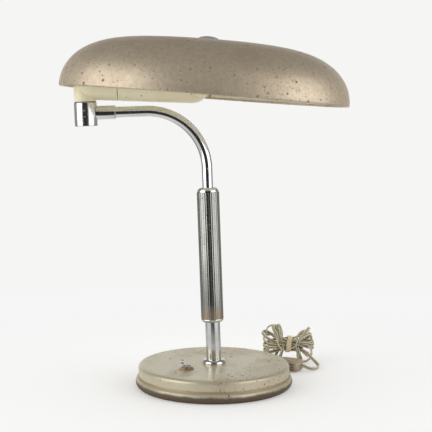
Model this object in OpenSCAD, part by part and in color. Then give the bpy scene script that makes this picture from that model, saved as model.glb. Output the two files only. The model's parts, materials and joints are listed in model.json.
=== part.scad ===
// Desk lamp: an oval dome shade on a swinging chromed arm, carried by a fluted sleeve that
// slides and turns on a stem, over a round weighted base with a toggle switch and a tied flex.
// Millimetres, +Z up. The origin is the centre of the base's underside, the arm points to -X.

/* [Base] */
// Radius of the base at its widest, on the lower bead
base_r = 95; // [93:0.5:100]
// Height of the base's top face
base_h = 26.5; // [25.5:0.5:32]
// How far the bead stands out of the upright wall
bead_out = 3.5; // [3:0.5:5]
// Thickness of the pressed cover
base_t = 1.2; // [0.8:0.1:1.6]
// Rounding of the cover's top edge
base_round = 4; // [2:0.5:6]
// Radius of the bead's section
bead_r = 7; // [6:0.5:7.5]
// Height of the middle of the bead
bead_z = 6.3; // [6:0.1:7]
// Thickness of the felt under the base
felt_t = 1.5; // [1:0.1:1.8]
// Thickness of the bottom plate
plate_t = 1.2; // [0.8:0.1:1.5]
// Space between the cast ballast and the cover's wall
weight_margin = 7.3; // [6:0.1:15]
// Thickness of the cast ballast
weight_t = 13; // [11:0.5:13]
// Radius of the circle of the bottom screws
screw_ring_r = 62; // [55:1:66]

/* [Stem and sleeve] */
// Lean of the stem towards the arm's side, in degrees
stem_lean = 2; // [0:0.5:3]
// Radius of the stem
stem_r = 9; // [8:0.25:9.5]
// Wall of the stem and arm tubes
tube_t = 1.2; // [1:0.1:1.5]
// Height of the stem's top above the base
stem_top = 155; // [140:1:165]
// Radius of the domed foot flange
flange_r = 13.8; // [12:0.5:16]
// Height of the domed foot flange
flange_h = 5; // [4:0.5:6]
// Radius of the threaded stud under the flange
stud_r = 5; // [4.5:0.25:5.5]
// Height of the sleeve's bottom above the base
sleeve_bottom = 55; // [52:1:60]
// Length of the fluted sleeve
sleeve_len = 153; // [150:0.5:170]
// Radius of the sleeve over its ribs
sleeve_r = 13.5; // [13.2:0.1:15]
// Radius of the sleeve's bore
sleeve_bore_r = 11.2; // [11.1:0.1:11.5]
// Number of flutes round the sleeve
flutes = 36; // [24:1:36]
// Radius of one flute's hollow
flute_r = 0.8; // [0.5:0.1:0.9]
// Height of the collar under the sleeve
lower_collar_h = 4; // [3:0.5:6]
// Height of the collar on the sleeve's top
upper_collar_h = 6; // [4:0.5:8]
// Length of the friction bush inside the sleeve
bush_len = 30; // [20:1:36]

/* [Arm] */
// Height of the level part of the arm above the base
arm_height = 306.7; // [300:0.1:330]
// Radius of the arm's bend
bend_r = 70; // [60:1:75]
// Radius of the arm tube
arm_r = 6.5; // [6:0.25:7]
// Distance of the shade's swivel from the stem
arm_reach = 141.6; // [135:0.1:160]
// Radius of the ferrule that joins the arm to the swivel
ferrule_r = 8.3; // [8:0.1:9]
// Length of the ferrule
ferrule_len = 22; // [18:1:26]
// Radius of the swivel's drum
drum_r = 13.7; // [13:0.1:15]
// Height of the drum above the arm's middle
drum_up = 12.6; // [12:0.1:14]
// Depth of the drum below the arm's middle
drum_down = 15.4; // [13:0.1:18]
// Wall of the drum
drum_t = 2.2; // [1.8:0.1:3]

/* [Lamp housing] */
// Height of the lamp's axis above the arm's middle, at the swivel
housing_rise = 38.3; // [37:0.1:42]
// Droop of the lamp's axis towards the shade's nose, in degrees
housing_droop = 3.9; // [3:0.1:5]
// Outer radius of the housing
housing_r = 22.2; // [21:0.1:24]
// Wall of the housing
housing_t = 2.6; // [2.2:0.1:3]
// Radius of the housing's neck
neck_r = 13.2; // [12:0.1:13.5]
// Distance of the seam from the swivel, along the lamp's axis
seam_x = 40.8; // [37:0.1:42]
// Distance of the nose's centre from the swivel, along the lamp's axis
nose_x = 127.6; // [122:0.1:134]
// Radius of the hole in the nose
nose_hole_r = 14; // [13:0.5:16]
// Radius of the hollow threaded spindles
spindle_r = 5; // [4.5:0.25:5.25]
// Radius of the lead's passage through spindles, foot and drum
passage_r = 2.6; // [2.5:0.1:2.8]
// Outer radius of the lamp holder
holder_r = 13.4; // [12:0.2:15]
// Distance of the lamp holder's back from the swivel
holder_x = 74; // [68:1:78]
// Length of the lamp holder
holder_len = 38; // [34:1:42]
// Radius of the bulb's cap
bulb_cap_r = 6.9; // [6.5:0.1:7.1]
// Radius of the bulb's glass
bulb_r = 11; // [9:0.5:12.5]
// Length of the bulb's glass
bulb_len = 84; // [70:1:100]

/* [Shade] */
// Length of the shade
shade_len = 343.4; // [330:0.1:370]
// Width of the shade
shade_w = 247; // [230:1:260]
// Height of the dome over its rim
shade_h = 63.8; // [60:0.1:75]
// Thickness of the shade's sheet
shade_t = 0.8; // [0.6:0.1:1.2]
// Radius of the rolled rim
rim_r = 1.6; // [1.4:0.1:2.2]
// Flatness of the dome's top
dome_flat = 4.15; // [3:0.05:5]
// Steepness of the dome's foot
dome_steep = 2; // [1.8:0.05:2.5]
// Fullness of the rim's oval
plan_power = 2.17; // [2:0.01:2.6]
// Distance of the shade's back tip behind the swivel, along the lamp's axis
shade_back = 28.9; // [24:0.1:32]
// Depth of the rim's plane below the lamp's axis
shade_drop = 12.5; // [12:0.1:14]
// Tilt of the shade against the lamp's axis, in degrees
shade_tilt = 2.4; // [1:0.1:3]
// Radius of the chromed cap on the crown
cap_r = 13.4; // [10:0.2:14]
// Height of the chromed cap
cap_h = 5.8; // [3:0.2:6]
// Width of the strap that carries the shade
strap_w = 20; // [16:1:22]
// Thickness of the strap that carries the shade
strap_t = 2; // [1.5:0.1:2.5]

/* [Switch] */
// Distance of the switch in front of the stem, and as far towards the arm's side
switch_off = 32.3; // [30:0.1:34]
// Radius of the switch's threaded bush
switch_r = 5.9; // [5.5:0.1:6.1]
// Height of the bush above the base
switch_h = 3.8; // [3.4:0.1:4.6]
// Width of the switch's nut across its flats
switch_nut_w = 14; // [13:0.5:16]
// Lean of the toggle at rest, in degrees
toggle_lean = 36; // [30:1:38]
// Length of the toggle from its pivot to the middle of its ball
toggle_len = 9.4; // [9:0.1:13]
// Radius of the toggle's ball
toggle_ball_r = 2.5; // [2:0.1:3]

/* [Flex and plug] */
// Diameter of the flex
cord_d = 4.4; // [4:0.1:4.5]
// Height of the flex's outlet in the base's wall
outlet_z = 17.6; // [17.2:0.1:18]
// Length of the tapered strain relief
relief_len = 22; // [20:1:22]
// Length of the plug's body
plug_len = 30; // [26:1:32]
// Width of the plug's body
plug_w = 27; // [26:1:28]
// Height of the plug's body
plug_h = 15; // [14:0.5:20]
// Length of the plug's pins
pin_len = 19; // [17:0.5:19]
// Radius of the plug's pins
pin_r = 2; // [1.8:0.1:2.4]
// Distance between the plug's pins
pin_gap = 18; // [16:0.5:18]
// Width of the hank's tie
tie_w = 6; // [5:0.5:8]

/* [Fits] */
// Radial gap of a fixed or turning fit
fit = 0.05; // [0.03:0.01:0.08]
// Gap between pieces that move past each other
gap = 0.3; // [0.2:0.05:0.35]
// Gap between end faces that turn on each other
face_gap = 0.1; // [0.05:0.05:0.2]

/* [Hidden] */
$fn = 96;

// Base, from the bottom up
base_wall_r = base_r - bead_out;
lip_z = 0.5;                                  // underside of the cover's rolled edge
plate_top = felt_t + plate_t;
plate_r = base_r - bead_r - 0.5;              // passes through the cover's opening
weight_z = plate_top + 4.3;                   // underside of the ballast, on its three feet
weight_top = weight_z + weight_t;
weight_r = base_wall_r - base_t - weight_margin;
weight_foot_r = 7;
hub_r = 13;
hub_pocket_r = 12;
hub_pocket_top = 14.3;
hub_top = base_h - base_t;
washer_t = 1.5;
nut_h = 6;
nut_w = 17;                                   // across the flats, M10
stud_bottom = hub_pocket_top - washer_t - nut_h - 0.3;
plate_screw_r = 2;
plate_screw_len = 9;
screw_head_r = 3.6;
screw_head_h = 1.3;
felt_hole_r = 4.4;

// Stem and sleeve, heights above the base's top along the leaning axis
stem_bore_r = stem_r - tube_t;
spigot_len = 20;
guide_len = 8;
bush_bottom = sleeve_bottom + 2.2;
liner_t = 0.9;
liner_r = stem_r + fit + liner_t;
sleeve_top = sleeve_bottom + sleeve_len;
plug_depth = 18;                              // of the arm's socket inside the sleeve
arm_bore_r = arm_r - tube_t;
arm_bottom = sleeve_top - plug_depth;
ferrule_out = arm_reach - drum_r;             // face of the drum that the ferrule meets

// Swivel and lamp housing
drum_top = arm_height + drum_up;
drum_bottom = arm_height - drum_down;
drum_roof = 5;
drum_cap_h = 2;
ferrule_seat = 14;                            // depth of the arm tube in the ferrule
arm_end = ferrule_out - ferrule_len + ferrule_seat;
washer_gap_t = 0.8;                           // dark friction washer under the neck
neck_bottom = drum_top + face_gap + washer_gap_t;
web_t = 3;
spring_t = 2.2;
spring_r = 9;
thin_nut_h = 5;
thin_nut_w = 14;
axis_height = arm_height + housing_rise;      // of the lamp's axis, at the swivel
rear_round_x = 10.6;                          // centre of the rear housing's round end
lid_r = 11;
front_x = seam_x + face_gap;                  // back of the front housing
lead_r = passage_r - gap;
roll_spindle_from = seam_x - web_t - face_gap - spring_t - thin_nut_h - 2;
neck_lead_bend = 12;
neck_lead_turn = 90 + housing_droop;
neck_lead_up = axis_height - neck_lead_bend * (1 - cos(neck_lead_turn)) * tan(housing_droop)
    - neck_lead_bend * sin(neck_lead_turn);
neck_lead_low = drum_top - drum_roof - spring_t - thin_nut_h - 1;
neck_lead_end = roll_spindle_from + 8;
neck_lead_route = concat(
    [[0, 0, neck_lead_low]],
    [for (i = [0 : 8]) let(a = i * neck_lead_turn / 8)
        [neck_lead_bend * (1 - cos(a)), 0, neck_lead_up + neck_lead_bend * sin(a)]],
    [[neck_lead_end * cos(housing_droop), 0, axis_height - neck_lead_end * sin(housing_droop)]]
);

// Lamp holder and bulb
holder_split = holder_x + 10;
holder_end = holder_x + holder_len;
holder_shell_t = 0.6;
shell_r = bulb_cap_r + fit + holder_shell_t;
bulb_neck_len = 7;
bulb_cap_len = 22;
bulb_from = holder_end - bulb_cap_len + 1;

// Strap from the housing's pad to the crown
shade_x = shade_len / 2 - shade_back;         // the shade's middle, along the lamp's axis
pad_z = housing_r + 1;                        // flat pad for the strap
pad_len = 26;
pad_x = 92;
strap_foot_x = pad_x + pad_len - 1;
strap_hole_r = 4.1;
crown_z = shade_h - shade_t - face_gap;
strap_screw_r = 2;

// Shade's mesh
dome_steps = 12;
round_steps = 72;
crown_r = 4.2;

// Switch
switch_x = -switch_off;
switch_y = -switch_off;
pivot_z = base_h + 1.5;
pivot_ball_r = 2.9;
pivot_bore_r = pivot_ball_r + 2 * fit;
lever_r = 1.3;
switch_body_size = [28, 15, 15.5];
terminal_len = 3.6;
switch_nut_h = 2.2;

// Flex: its outlet is at the base's back, its points are chosen by hand
cord_r = cord_d / 2;
lead_thin_r = 1.4;
lead_turn = [0, 50];
lead_switch_end = [switch_x + 5.3, switch_y + 10.3];
outlet_hole_r = 3.4;
relief_flange_r = 4;
clamp_y = weight_r - 11;
clamp_len = 22;
clamp_t = 1.2;
clamp_screw_r = 1.5;
clamp_screw_len = 6;
channel_w = cord_d + 0.8;
run_route = [
    [0, 96.5, 17.6], [0, 113.5, 17.6], [0, 119, 17.2], [0.6, 125, 15], [2.5, 131, 10.5], [6, 137, 6],
    [12, 142, 3.2], [20, 144, 2.5], [29, 142.5, 2.5], [38, 138, 2.5], [47, 131.5, 2.5], [55, 124.5, 3.4],
    [62, 119, 6.5], [67, 116, 11.5], [69.9, 115, 16.5]
];
lead_route = [
    [0, 96, 17.6], [0, 74, 17.6], [0, 57, 17.6], [-0.3, 50, 17.6], [-2.7, 42.8, 17.6], [-5.4, 35.6, 17.6],
    [-13.5, 14, 17.6], [-21.6, -7.6, 17.6], [-24.2, -14.4, 17.6], [-25.4, -18.6, 14.4],
    [-26, -20.4, 10], [-26.2, -22.6, 6.8], [-25.8, -27, 4.9], [-24.3, -31.2, 4.8], [-20.5, -29.5, 4.6],
    [-16, -23, 4.4], [-10, -13, 4.3], [-4, -4.6, 4.4], [-1.6, -1.8, 4.8], [-0.4, -0.4, 7],
    [0, 0, 11], [0, 0, 22], [-0.3, 0, 32], [-0.9, 0, 52]
];
lead_radii = [for (i = [0 : len(lead_route) - 1]) i < 9 ? cord_r : lead_thin_r];
tail_route = [
    [123, 105.9, 14], [123, 104.8, 14], [123.3, 102.5, 13.7], [124.5, 99.4, 12.7], [126.4, 96.9, 10.9],
    [129.2, 94.5, 8.4], [132.2, 91.9, 5.6], [134, 89.6, 3.9], [135.2, 86.9, 2.9], [135.6, 83.9, 2.5],
    [134.6, 77, 2.5], [131.4, 69.5, 2.6], [126.2, 62.9, 3.4], [120.5, 60, 5],
    [115.6, 60.6, plug_h / 2 - 0.3], [111.1, 62.95, plug_h / 2]
];
hank_low_y = 106;
hank_high_y = 136;
hank_mid_x = 99;
hank_mid_z = 23;
tie_half = [9.2, 9.2];                        // half depth and half height inside the tie
tie_t = 0.9;
plug_at = [111, 63, plug_h / 2];
plug_turn = 152;                              // the pins point back past the base

// Frames of reference
module leaned() {
    translate([0, 0, base_h]) rotate([0, -stem_lean, 0]) children();
}

module at_swivel() {
    leaned() translate([-arm_reach, 0, 0]) children();
}

// x runs along the lamp's axis from the swivel towards the nose
module at_lamp() {
    at_swivel() translate([0, 0, axis_height]) rotate([0, housing_droop, 0]) children();
}

// z = 0 is the rim's plane, x the shade's length
module at_shade() {
    at_lamp() translate([shade_x, 0, -shade_drop]) rotate([0, shade_tilt, 0]) children();
}

module at_switch(z = 0) {
    translate([switch_x, switch_y, z]) children();
}

module at_plug() {
    translate(plug_at) rotate([0, 0, plug_turn]) children();
}

// Plain shapes
module ring(outer_r, inner_r, h) {
    difference() {
        cylinder(r = outer_r, h = h);
        translate([0, 0, -1]) cylinder(r = inner_r, h = h + 2);
    }
}

// A round bar along +x
module bar(r, from, to) {
    translate([from, 0, 0]) rotate([0, 90, 0]) cylinder(r = r, h = to - from);
}

// A ring along +x
module bar_ring(outer_r, inner_r, from, to) {
    translate([from, 0, 0]) rotate([0, 90, 0]) ring(outer_r, inner_r, to - from);
}

module hex_nut(width, bore_r, h) {
    difference() {
        cylinder(d = width / cos(30), h = h, $fn = 6);
        translate([0, 0, -1]) cylinder(r = bore_r, h = h + 2);
    }
}

// A round bar bent about the Y axis, from angle a1 to a2, centred on the bend's middle
module bent_bar(middle_r, r, a1, a2) {
    rotate([90, 0, 0]) rotate([0, 0, a1]) rotate_extrude(angle = a2 - a1) translate([middle_r, 0])
        circle(r);
}

// Base
module base_outline(inset, low) {
    wall = base_wall_r - inset;
    top = base_h - inset;
    round = base_round - inset;
    translate([0, bead_z]) square([wall, top - round - bead_z]);
    translate([0, low]) square([base_r - bead_r, bead_z - low]);
    translate([0, top - round - 1]) square([wall - round, round + 1]);
    translate([wall - round, top - round]) circle(round);
    intersection() {
        translate([base_r - bead_r, bead_z]) circle(bead_r - inset);
        translate([0, low]) square([base_r, bead_z + bead_r - low]);
    }
}

module outlet_bore(r, from) {
    translate([0, from, outlet_z]) rotate([-90, 0, 0]) cylinder(r = r, h = base_r - from + 1);
}

module base_shell() {
    color([0.62, 0.6, 0.53]) difference() {
        rotate_extrude() difference() {
            base_outline(0, lip_z);
            base_outline(base_t, -1);
        }
        translate([0, 0, base_h - base_t - 1]) cylinder(r = stud_r + fit, h = base_t + 2);
        at_switch(base_h - base_t - 1) cylinder(r = switch_r + fit, h = base_t + 2);
        outlet_bore(outlet_hole_r + fit, base_wall_r - 3);
    }
}

module base_weight() {
    color([0.25, 0.25, 0.26]) difference() {
        union() {
            translate([0, 0, weight_z]) cylinder(r = weight_r, h = weight_t);
            translate([0, 0, weight_z]) cylinder(r = hub_r, h = hub_top - weight_z);
            plate_screw_places() translate([0, 0, plate_top])
                cylinder(r = weight_foot_r, h = weight_z - plate_top + 1);
        }
        translate([0, 0, weight_z - 1]) cylinder(r = stud_r + fit, h = base_h);
        translate([0, 0, weight_z - 1]) cylinder(r = hub_pocket_r, h = hub_pocket_top - weight_z + 1);
        plate_screw_places() translate([0, 0, plate_top - 1])
            cylinder(r = plate_screw_r + fit, h = plate_screw_len + 1);
        at_switch(weight_z - 1) translate([-switch_body_size[0] / 2 - 2, -switch_body_size[1] / 2 - 2, 0])
            cube([switch_body_size[0] + 4, switch_body_size[1] + 12, weight_t + 2]);
        lead_channel();
        clamp_screw_places() translate([0, 0, weight_top - clamp_screw_len])
            cylinder(r = clamp_screw_r + fit, h = clamp_screw_len + 1);
    }
}

module base_plate() {
    color([0.45, 0.45, 0.46]) difference() {
        translate([0, 0, felt_t]) cylinder(r = plate_r, h = plate_t);
        plate_screw_places() translate([0, 0, felt_t - 1])
            cylinder(r = plate_screw_r + fit, h = plate_t + 2);
    }
}

module base_felt() {
    color([0.2, 0.26, 0.2]) difference() {
        cylinder(r = plate_r - 1, h = felt_t);
        plate_screw_places() translate([0, 0, -1]) cylinder(r = felt_hole_r, h = felt_t + 2);
    }
}

module plate_screw_places() {
    for (a = [30, 150, 270]) rotate([0, 0, a]) translate([screw_ring_r, 0, 0]) children();
}

module plate_screws() {
    color([0.6, 0.6, 0.6]) plate_screw_places() translate([0, 0, felt_t]) {
        cylinder(r = plate_screw_r, h = plate_t + plate_screw_len - 1);
        difference() {
            translate([0, 0, -screw_head_h]) cylinder(r = screw_head_r, h = screw_head_h);
            translate([-screw_head_r, -0.4, -screw_head_h - 1]) cube([2 * screw_head_r, 0.8, 1.6]);
        }
    }
}

// Stem
module stem_foot() {
    color([0.85, 0.85, 0.86]) difference() {
        union() {
            translate([0, 0, base_h]) rotate_extrude() {
                square([flange_r - flange_h + 1, flange_h]);
                square([flange_r, 1]);
                intersection() {
                    translate([flange_r - flange_h + 1, 1]) circle(flange_h - 1);
                    square([flange_r, flange_h]);
                }
            }
            translate([0, 0, stud_bottom]) cylinder(r = stud_r, h = base_h - stud_bottom + 1);
            leaned() translate([0, 0, 2]) cylinder(r = stem_bore_r - fit, h = flange_h + spigot_len - 2);
        }
        translate([0, 0, stud_bottom - 1]) cylinder(r = passage_r + 0.5, h = base_h + 1.5 - stud_bottom + 1);
        leaned() translate([0, 0, 1]) cylinder(r = passage_r, h = flange_h + spigot_len);
    }
}

module stem_washer() {
    color([0.6, 0.6, 0.6]) translate([0, 0, hub_pocket_top - washer_t])
        ring(nut_w / 2 + 1.5, stud_r + fit, washer_t);
}

module stem_nut() {
    color([0.66, 0.66, 0.66]) translate([0, 0, hub_pocket_top - washer_t - nut_h])
        hex_nut(nut_w, stud_r + fit, nut_h);
}

module stem_tube() {
    color([0.85, 0.85, 0.86]) difference() {
        leaned() ring(stem_r, stem_bore_r, stem_top);
        translate([-base_r, -base_r, 0]) cube([2 * base_r, 2 * base_r, base_h + flange_h]);
    }
}

module stem_guide() {
    color([0.8, 0.66, 0.35]) leaned() translate([0, 0, stem_top - guide_len])
        ring(sleeve_bore_r - fit, stem_r + fit, guide_len);
}

// Switch
module switch_body() {
    color([0.16, 0.12, 0.1]) at_switch(hub_top - switch_body_size[2]) difference() {
        translate([-switch_body_size[0] / 2, -switch_body_size[1] / 2, 0]) cube(switch_body_size);
        translate([0, 0, switch_body_size[2] - 3]) cylinder(r = pivot_bore_r, h = 4);
    }
}

module switch_bush() {
    color([0.82, 0.82, 0.8]) at_switch(hub_top) difference() {
        cylinder(r = switch_r, h = base_t + switch_h);
        translate([0, 0, -1]) cylinder(r = pivot_bore_r, h = base_t + switch_h + 2);
        translate([0, 0, pivot_z - hub_top])
            cylinder(r1 = pivot_bore_r, r2 = pivot_bore_r + 1.6, h = base_h + switch_h - pivot_z + 0.01);
    }
}

module switch_nut() {
    color([0.78, 0.76, 0.7]) at_switch(base_h) hex_nut(switch_nut_w, switch_r + fit, switch_nut_h);
}

module switch_terminals() {
    color([0.75, 0.6, 0.3]) for (side = [-1, 1]) at_switch(hub_top - switch_body_size[2] - terminal_len)
        translate([side * 8 - 0.4, -2.5, 0]) cube([0.8, 5, terminal_len]);
}

module toggle_lever() {
    color([0.88, 0.88, 0.88]) at_switch(pivot_z) {
        sphere(r = pivot_ball_r);
        rotate([0, -toggle_lean, 0]) {
            cylinder(r = lever_r, h = toggle_len);
            translate([0, 0, toggle_len]) sphere(r = toggle_ball_r);
        }
    }
}

// Flex inside the base
module lead_channel() {
    translate([-channel_w / 2, lead_turn[1], outlet_z - cord_r]) cube([channel_w, base_r, base_h]);
    step = lead_switch_end - lead_turn;
    translate([lead_turn[0], lead_turn[1], outlet_z - cord_r]) {
        cylinder(d = channel_w, h = base_h);
        rotate([0, 0, atan2(step[1], step[0])]) translate([0, -channel_w / 2, 0])
            cube([norm(step), channel_w, base_h]);
    }
}

module cord_relief() {
    wall = base_wall_r;
    color([0.13, 0.12, 0.12]) difference() {
        union() {
            translate([0, wall - base_t - 2, outlet_z]) rotate([-90, 0, 0])
                cylinder(r = outlet_hole_r, h = base_t + 3);
            translate([0, wall + 0.2, outlet_z]) rotate([-90, 0, 0]) cylinder(r = relief_flange_r, h = 1.8);
            translate([0, wall + 1, outlet_z]) rotate([-90, 0, 0])
                cylinder(r1 = relief_flange_r, r2 = cord_r + 0.7, h = relief_len - 1);
            translate([0, wall - base_t - 2.3, outlet_z]) rotate([-90, 0, 0])
                cylinder(r = relief_flange_r, h = 2);
        }
        translate([0, wall - 5, outlet_z]) rotate([-90, 0, 0])
            cylinder(r = cord_r + fit, h = relief_len + 6);
    }
}

module clamp_screw_places() {
    for (side = [-1, 1]) translate([side * (clamp_len / 2 - 4), clamp_y, 0]) children();
}

module cord_clamp() {
    color([0.6, 0.6, 0.58]) difference() {
        union() {
            translate([-clamp_len / 2, clamp_y - 4, weight_top]) cube([clamp_len, 8, clamp_t]);
            translate([-cord_r, clamp_y - 3, outlet_z + cord_r])
                cube([cord_d, 6, weight_top + clamp_t - outlet_z - cord_r]);
        }
        clamp_screw_places() translate([0, 0, weight_top - 1])
            cylinder(r = clamp_screw_r + fit, h = clamp_t + 2);
    }
}

module clamp_screws() {
    color([0.66, 0.66, 0.66]) clamp_screw_places() {
        translate([0, 0, weight_top - clamp_screw_len + 0.5])
            cylinder(r = clamp_screw_r, h = clamp_screw_len + clamp_t - 0.5);
        translate([0, 0, weight_top + clamp_t]) cylinder(r = 2.6, h = 1.6);
    }
}

// From the outlet past the clamp to the switch, and as a thin wire from the switch into the foot
module base_lead() {
    color([0.55, 0.54, 0.5]) swept(lead_route, lead_radii);
}

// Friction bush, sliding on the stem
module brake_bush() {
    color([0.75, 0.62, 0.32]) leaned() translate([0, 0, bush_bottom])
        ring(sleeve_bore_r - fit, liner_r + fit, bush_len);
}

module brake_liner() {
    color([0.35, 0.27, 0.2]) leaned() translate([0, 0, bush_bottom]) ring(liner_r, stem_r + fit, bush_len);
}

// Sleeve and arm
module sleeve() {
    color([0.72, 0.72, 0.7]) leaned() translate([0, 0, sleeve_bottom]) linear_extrude(sleeve_len)
        difference() {
        circle(sleeve_r);
        circle(sleeve_bore_r);
        for (i = [0 : flutes - 1]) rotate(i * 360 / flutes) translate([sleeve_r + flute_r * 0.2, 0])
            circle(flute_r, $fn = 16);
    }
}

module lower_collar() {
    color([0.85, 0.85, 0.86]) leaned() translate([0, 0, sleeve_bottom - lower_collar_h]) difference() {
        union() {
            cylinder(r1 = stem_r + 1.6, r2 = sleeve_r, h = lower_collar_h);
            cylinder(r = sleeve_bore_r - fit, h = lower_collar_h + bush_bottom - sleeve_bottom - face_gap);
        }
        translate([0, 0, -1]) cylinder(r = stem_r + gap, h = lower_collar_h + 6);
    }
}

module bush_ring() {
    color([0.62, 0.62, 0.62]) leaned() translate([0, 0, bush_bottom + bush_len + face_gap])
        ring(sleeve_bore_r - fit, stem_r + gap, 2);
}

module upper_collar() {
    color([0.85, 0.85, 0.86]) leaned() translate([0, 0, sleeve_top]) rotate_extrude() difference() {
        union() {
            square([sleeve_r - 1, 0.6]);
            square([sleeve_r - 0.4 - upper_collar_h, upper_collar_h]);
            intersection() {
                translate([sleeve_r - 0.4 - upper_collar_h, 0.6]) circle(upper_collar_h - 0.6);
                translate([0, 0.6]) square([sleeve_r, upper_collar_h]);
            }
        }
        translate([0, -1]) square([arm_r + fit, upper_collar_h + 2]);
    }
}

module sleeve_plug() {
    color([0.7, 0.58, 0.3]) leaned() translate([0, 0, arm_bottom - 3]) difference() {
        cylinder(r = sleeve_bore_r - fit, h = plug_depth + 3);
        translate([0, 0, 3]) cylinder(r = arm_r + fit, h = plug_depth + 1);
        translate([0, 0, -1]) cylinder(r = arm_bore_r, h = 5);
    }
}

// The arm's centre line drawn with a bar of radius r, out to distance reach from the stem
module arm_path(r, low, reach, shift = 0) {
    bend = bend_r + shift;
    translate([shift, 0, low]) cylinder(r = r, h = arm_height - bend_r - low);
    translate([-bend_r, 0, arm_height - bend_r]) bent_bar(bend, r, 0, 90);
    translate([-reach, 0, arm_height + shift]) rotate([0, 90, 0]) cylinder(r = r, h = reach - bend_r);
}

module arm_tube() {
    color([0.85, 0.85, 0.86]) leaned() difference() {
        arm_path(arm_r, arm_bottom, arm_end);
        arm_path(arm_bore_r, arm_bottom - 1, arm_end + 1);
    }
}

module arm_ferrule() {
    color([0.82, 0.82, 0.83]) leaned() translate([-ferrule_out, 0, arm_height]) difference() {
        union() {
            bar(ferrule_r, -4, ferrule_len - 0.8);
            translate([ferrule_len - 0.8, 0, 0]) rotate([0, 90, 0])
                cylinder(r1 = ferrule_r, r2 = ferrule_r - 0.8, h = 0.8);
        }
        bar(arm_r + fit, ferrule_len - ferrule_seat, ferrule_len + 1);
        bar(arm_bore_r, -6, ferrule_len);
        translate([-drum_r, 0, -drum_down - 1]) cylinder(r = drum_r, h = drum_down + drum_up + 2);
    }
}

module swivel_drum() {
    color([0.85, 0.85, 0.86]) at_swivel() translate([0, 0, drum_bottom]) difference() {
        union() {
            translate([0, 0, 0.6]) cylinder(r = drum_r, h = drum_up + drum_down - 1.2);
            cylinder(r1 = drum_r - 0.6, r2 = drum_r, h = 0.6);
            translate([0, 0, drum_up + drum_down - 0.6]) cylinder(r1 = drum_r, r2 = drum_r - 0.6, h = 0.6);
        }
        translate([0, 0, -1]) cylinder(r = drum_r - drum_t, h = drum_up + drum_down - drum_roof + 1);
        translate([0, 0, -1]) cylinder(r = spindle_r + fit, h = drum_up + drum_down + 2);
        translate([0, 0, drum_down]) bar(arm_bore_r, 0, drum_r + 1);
    }
}

module drum_cap() {
    color([0.8, 0.8, 0.8]) at_swivel() translate([0, 0, drum_bottom + 0.4])
        cylinder(r = drum_r - drum_t - fit, h = drum_cap_h);
}

// The lead lies along the outside of the arm's bend
module arm_lead() {
    shift = arm_bore_r - lead_r - gap / 2;
    color([0.55, 0.54, 0.5]) leaned() arm_path(lead_r, arm_bottom - 6, ferrule_out + drum_t + 1, shift);
}

// Rear housing: the round-ended elbow over the swivel, spun about the lamp's axis
module rear_outline(inset, end_x) {
    rotate([0, 90, 0]) rotate_extrude() {
        intersection() {
            translate([0, rear_round_x]) circle(housing_r - inset);
            translate([0, rear_round_x - housing_r]) square([housing_r, housing_r]);
        }
        translate([0, rear_round_x]) square([housing_r - inset, end_x - rear_round_x]);
    }
}

module rear_housing() {
    color([0.86, 0.83, 0.71]) difference() {
        union() {
            at_lamp() rear_outline(0, seam_x);
            at_swivel() translate([0, 0, neck_bottom]) cylinder(r = neck_r, h = axis_height - neck_bottom);
        }
        at_lamp() rear_outline(housing_t, seam_x - web_t);
        at_swivel() translate([0, 0, neck_bottom + web_t])
            cylinder(r = neck_r - housing_t, h = axis_height - neck_bottom - web_t);
        at_swivel() translate([0, 0, neck_bottom - 1]) cylinder(r = spindle_r + fit, h = web_t + 2);
        at_lamp() bar(spindle_r + fit, seam_x - web_t - 1, seam_x + 1);
        at_lamp() translate([rear_round_x, 0, 0]) cylinder(r = lid_r, h = housing_r + 1);
    }
}

module housing_lid() {
    color([0.86, 0.83, 0.71]) at_lamp() intersection() {
        translate([rear_round_x, 0, 0]) cylinder(r = lid_r - fit, h = housing_r + 1);
        difference() {
            rear_outline(0, seam_x);
            rear_outline(housing_t, seam_x);
        }
    }
}

module neck_washer() {
    color([0.12, 0.11, 0.1]) at_swivel() translate([0, 0, drum_top + face_gap])
        ring(neck_r - 0.4, spindle_r + fit, washer_gap_t);
}

module neck_spindle() {
    color([0.72, 0.6, 0.32]) at_swivel()
        translate([0, 0, drum_top - drum_roof - spring_t - thin_nut_h - 1.5])
        ring(spindle_r, passage_r, drum_roof + spring_t + thin_nut_h + washer_gap_t + web_t + 8);
}

module neck_spring() {
    color([0.6, 0.6, 0.62]) at_swivel() translate([0, 0, drum_top - drum_roof - face_gap - spring_t])
        ring(spring_r, spindle_r + fit, spring_t);
}

module neck_nut() {
    top = drum_top - drum_roof - face_gap - spring_t;
    inside = neck_bottom + web_t;
    color([0.66, 0.66, 0.66]) at_swivel() {
        translate([0, 0, top - thin_nut_h]) hex_nut(thin_nut_w, spindle_r + fit, thin_nut_h);
        translate([0, 0, inside]) hex_nut(thin_nut_w, spindle_r + fit, 3);
    }
}

// The lead climbs the neck's spindle and turns into the lamp's axis
module neck_lead() {
    color([0.55, 0.54, 0.5]) at_swivel() swept(neck_lead_route, lead_r, 12);
}

// Front housing, which rolls about the lamp's axis with everything on it
module front_housing() {
    color([0.86, 0.83, 0.71]) at_lamp() difference() {
        union() {
            bar(housing_r, front_x, nose_x);
            translate([nose_x, 0, 0]) sphere(r = housing_r);
            translate([pad_x, -strap_w / 2 - 1, 0]) cube([pad_len, strap_w + 2, pad_z]);
        }
        bar(housing_r - housing_t, front_x + web_t, nose_x);
        translate([nose_x, 0, 0]) sphere(r = housing_r - housing_t);
        bar(nose_hole_r, nose_x, nose_x + housing_r + 1);
        bar(spindle_r + fit, front_x - 1, front_x + web_t + 1);
        strap_screw_places() translate([0, 0, 0]) cylinder(r = strap_screw_r + fit, h = pad_z + 1);
    }
}

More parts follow.
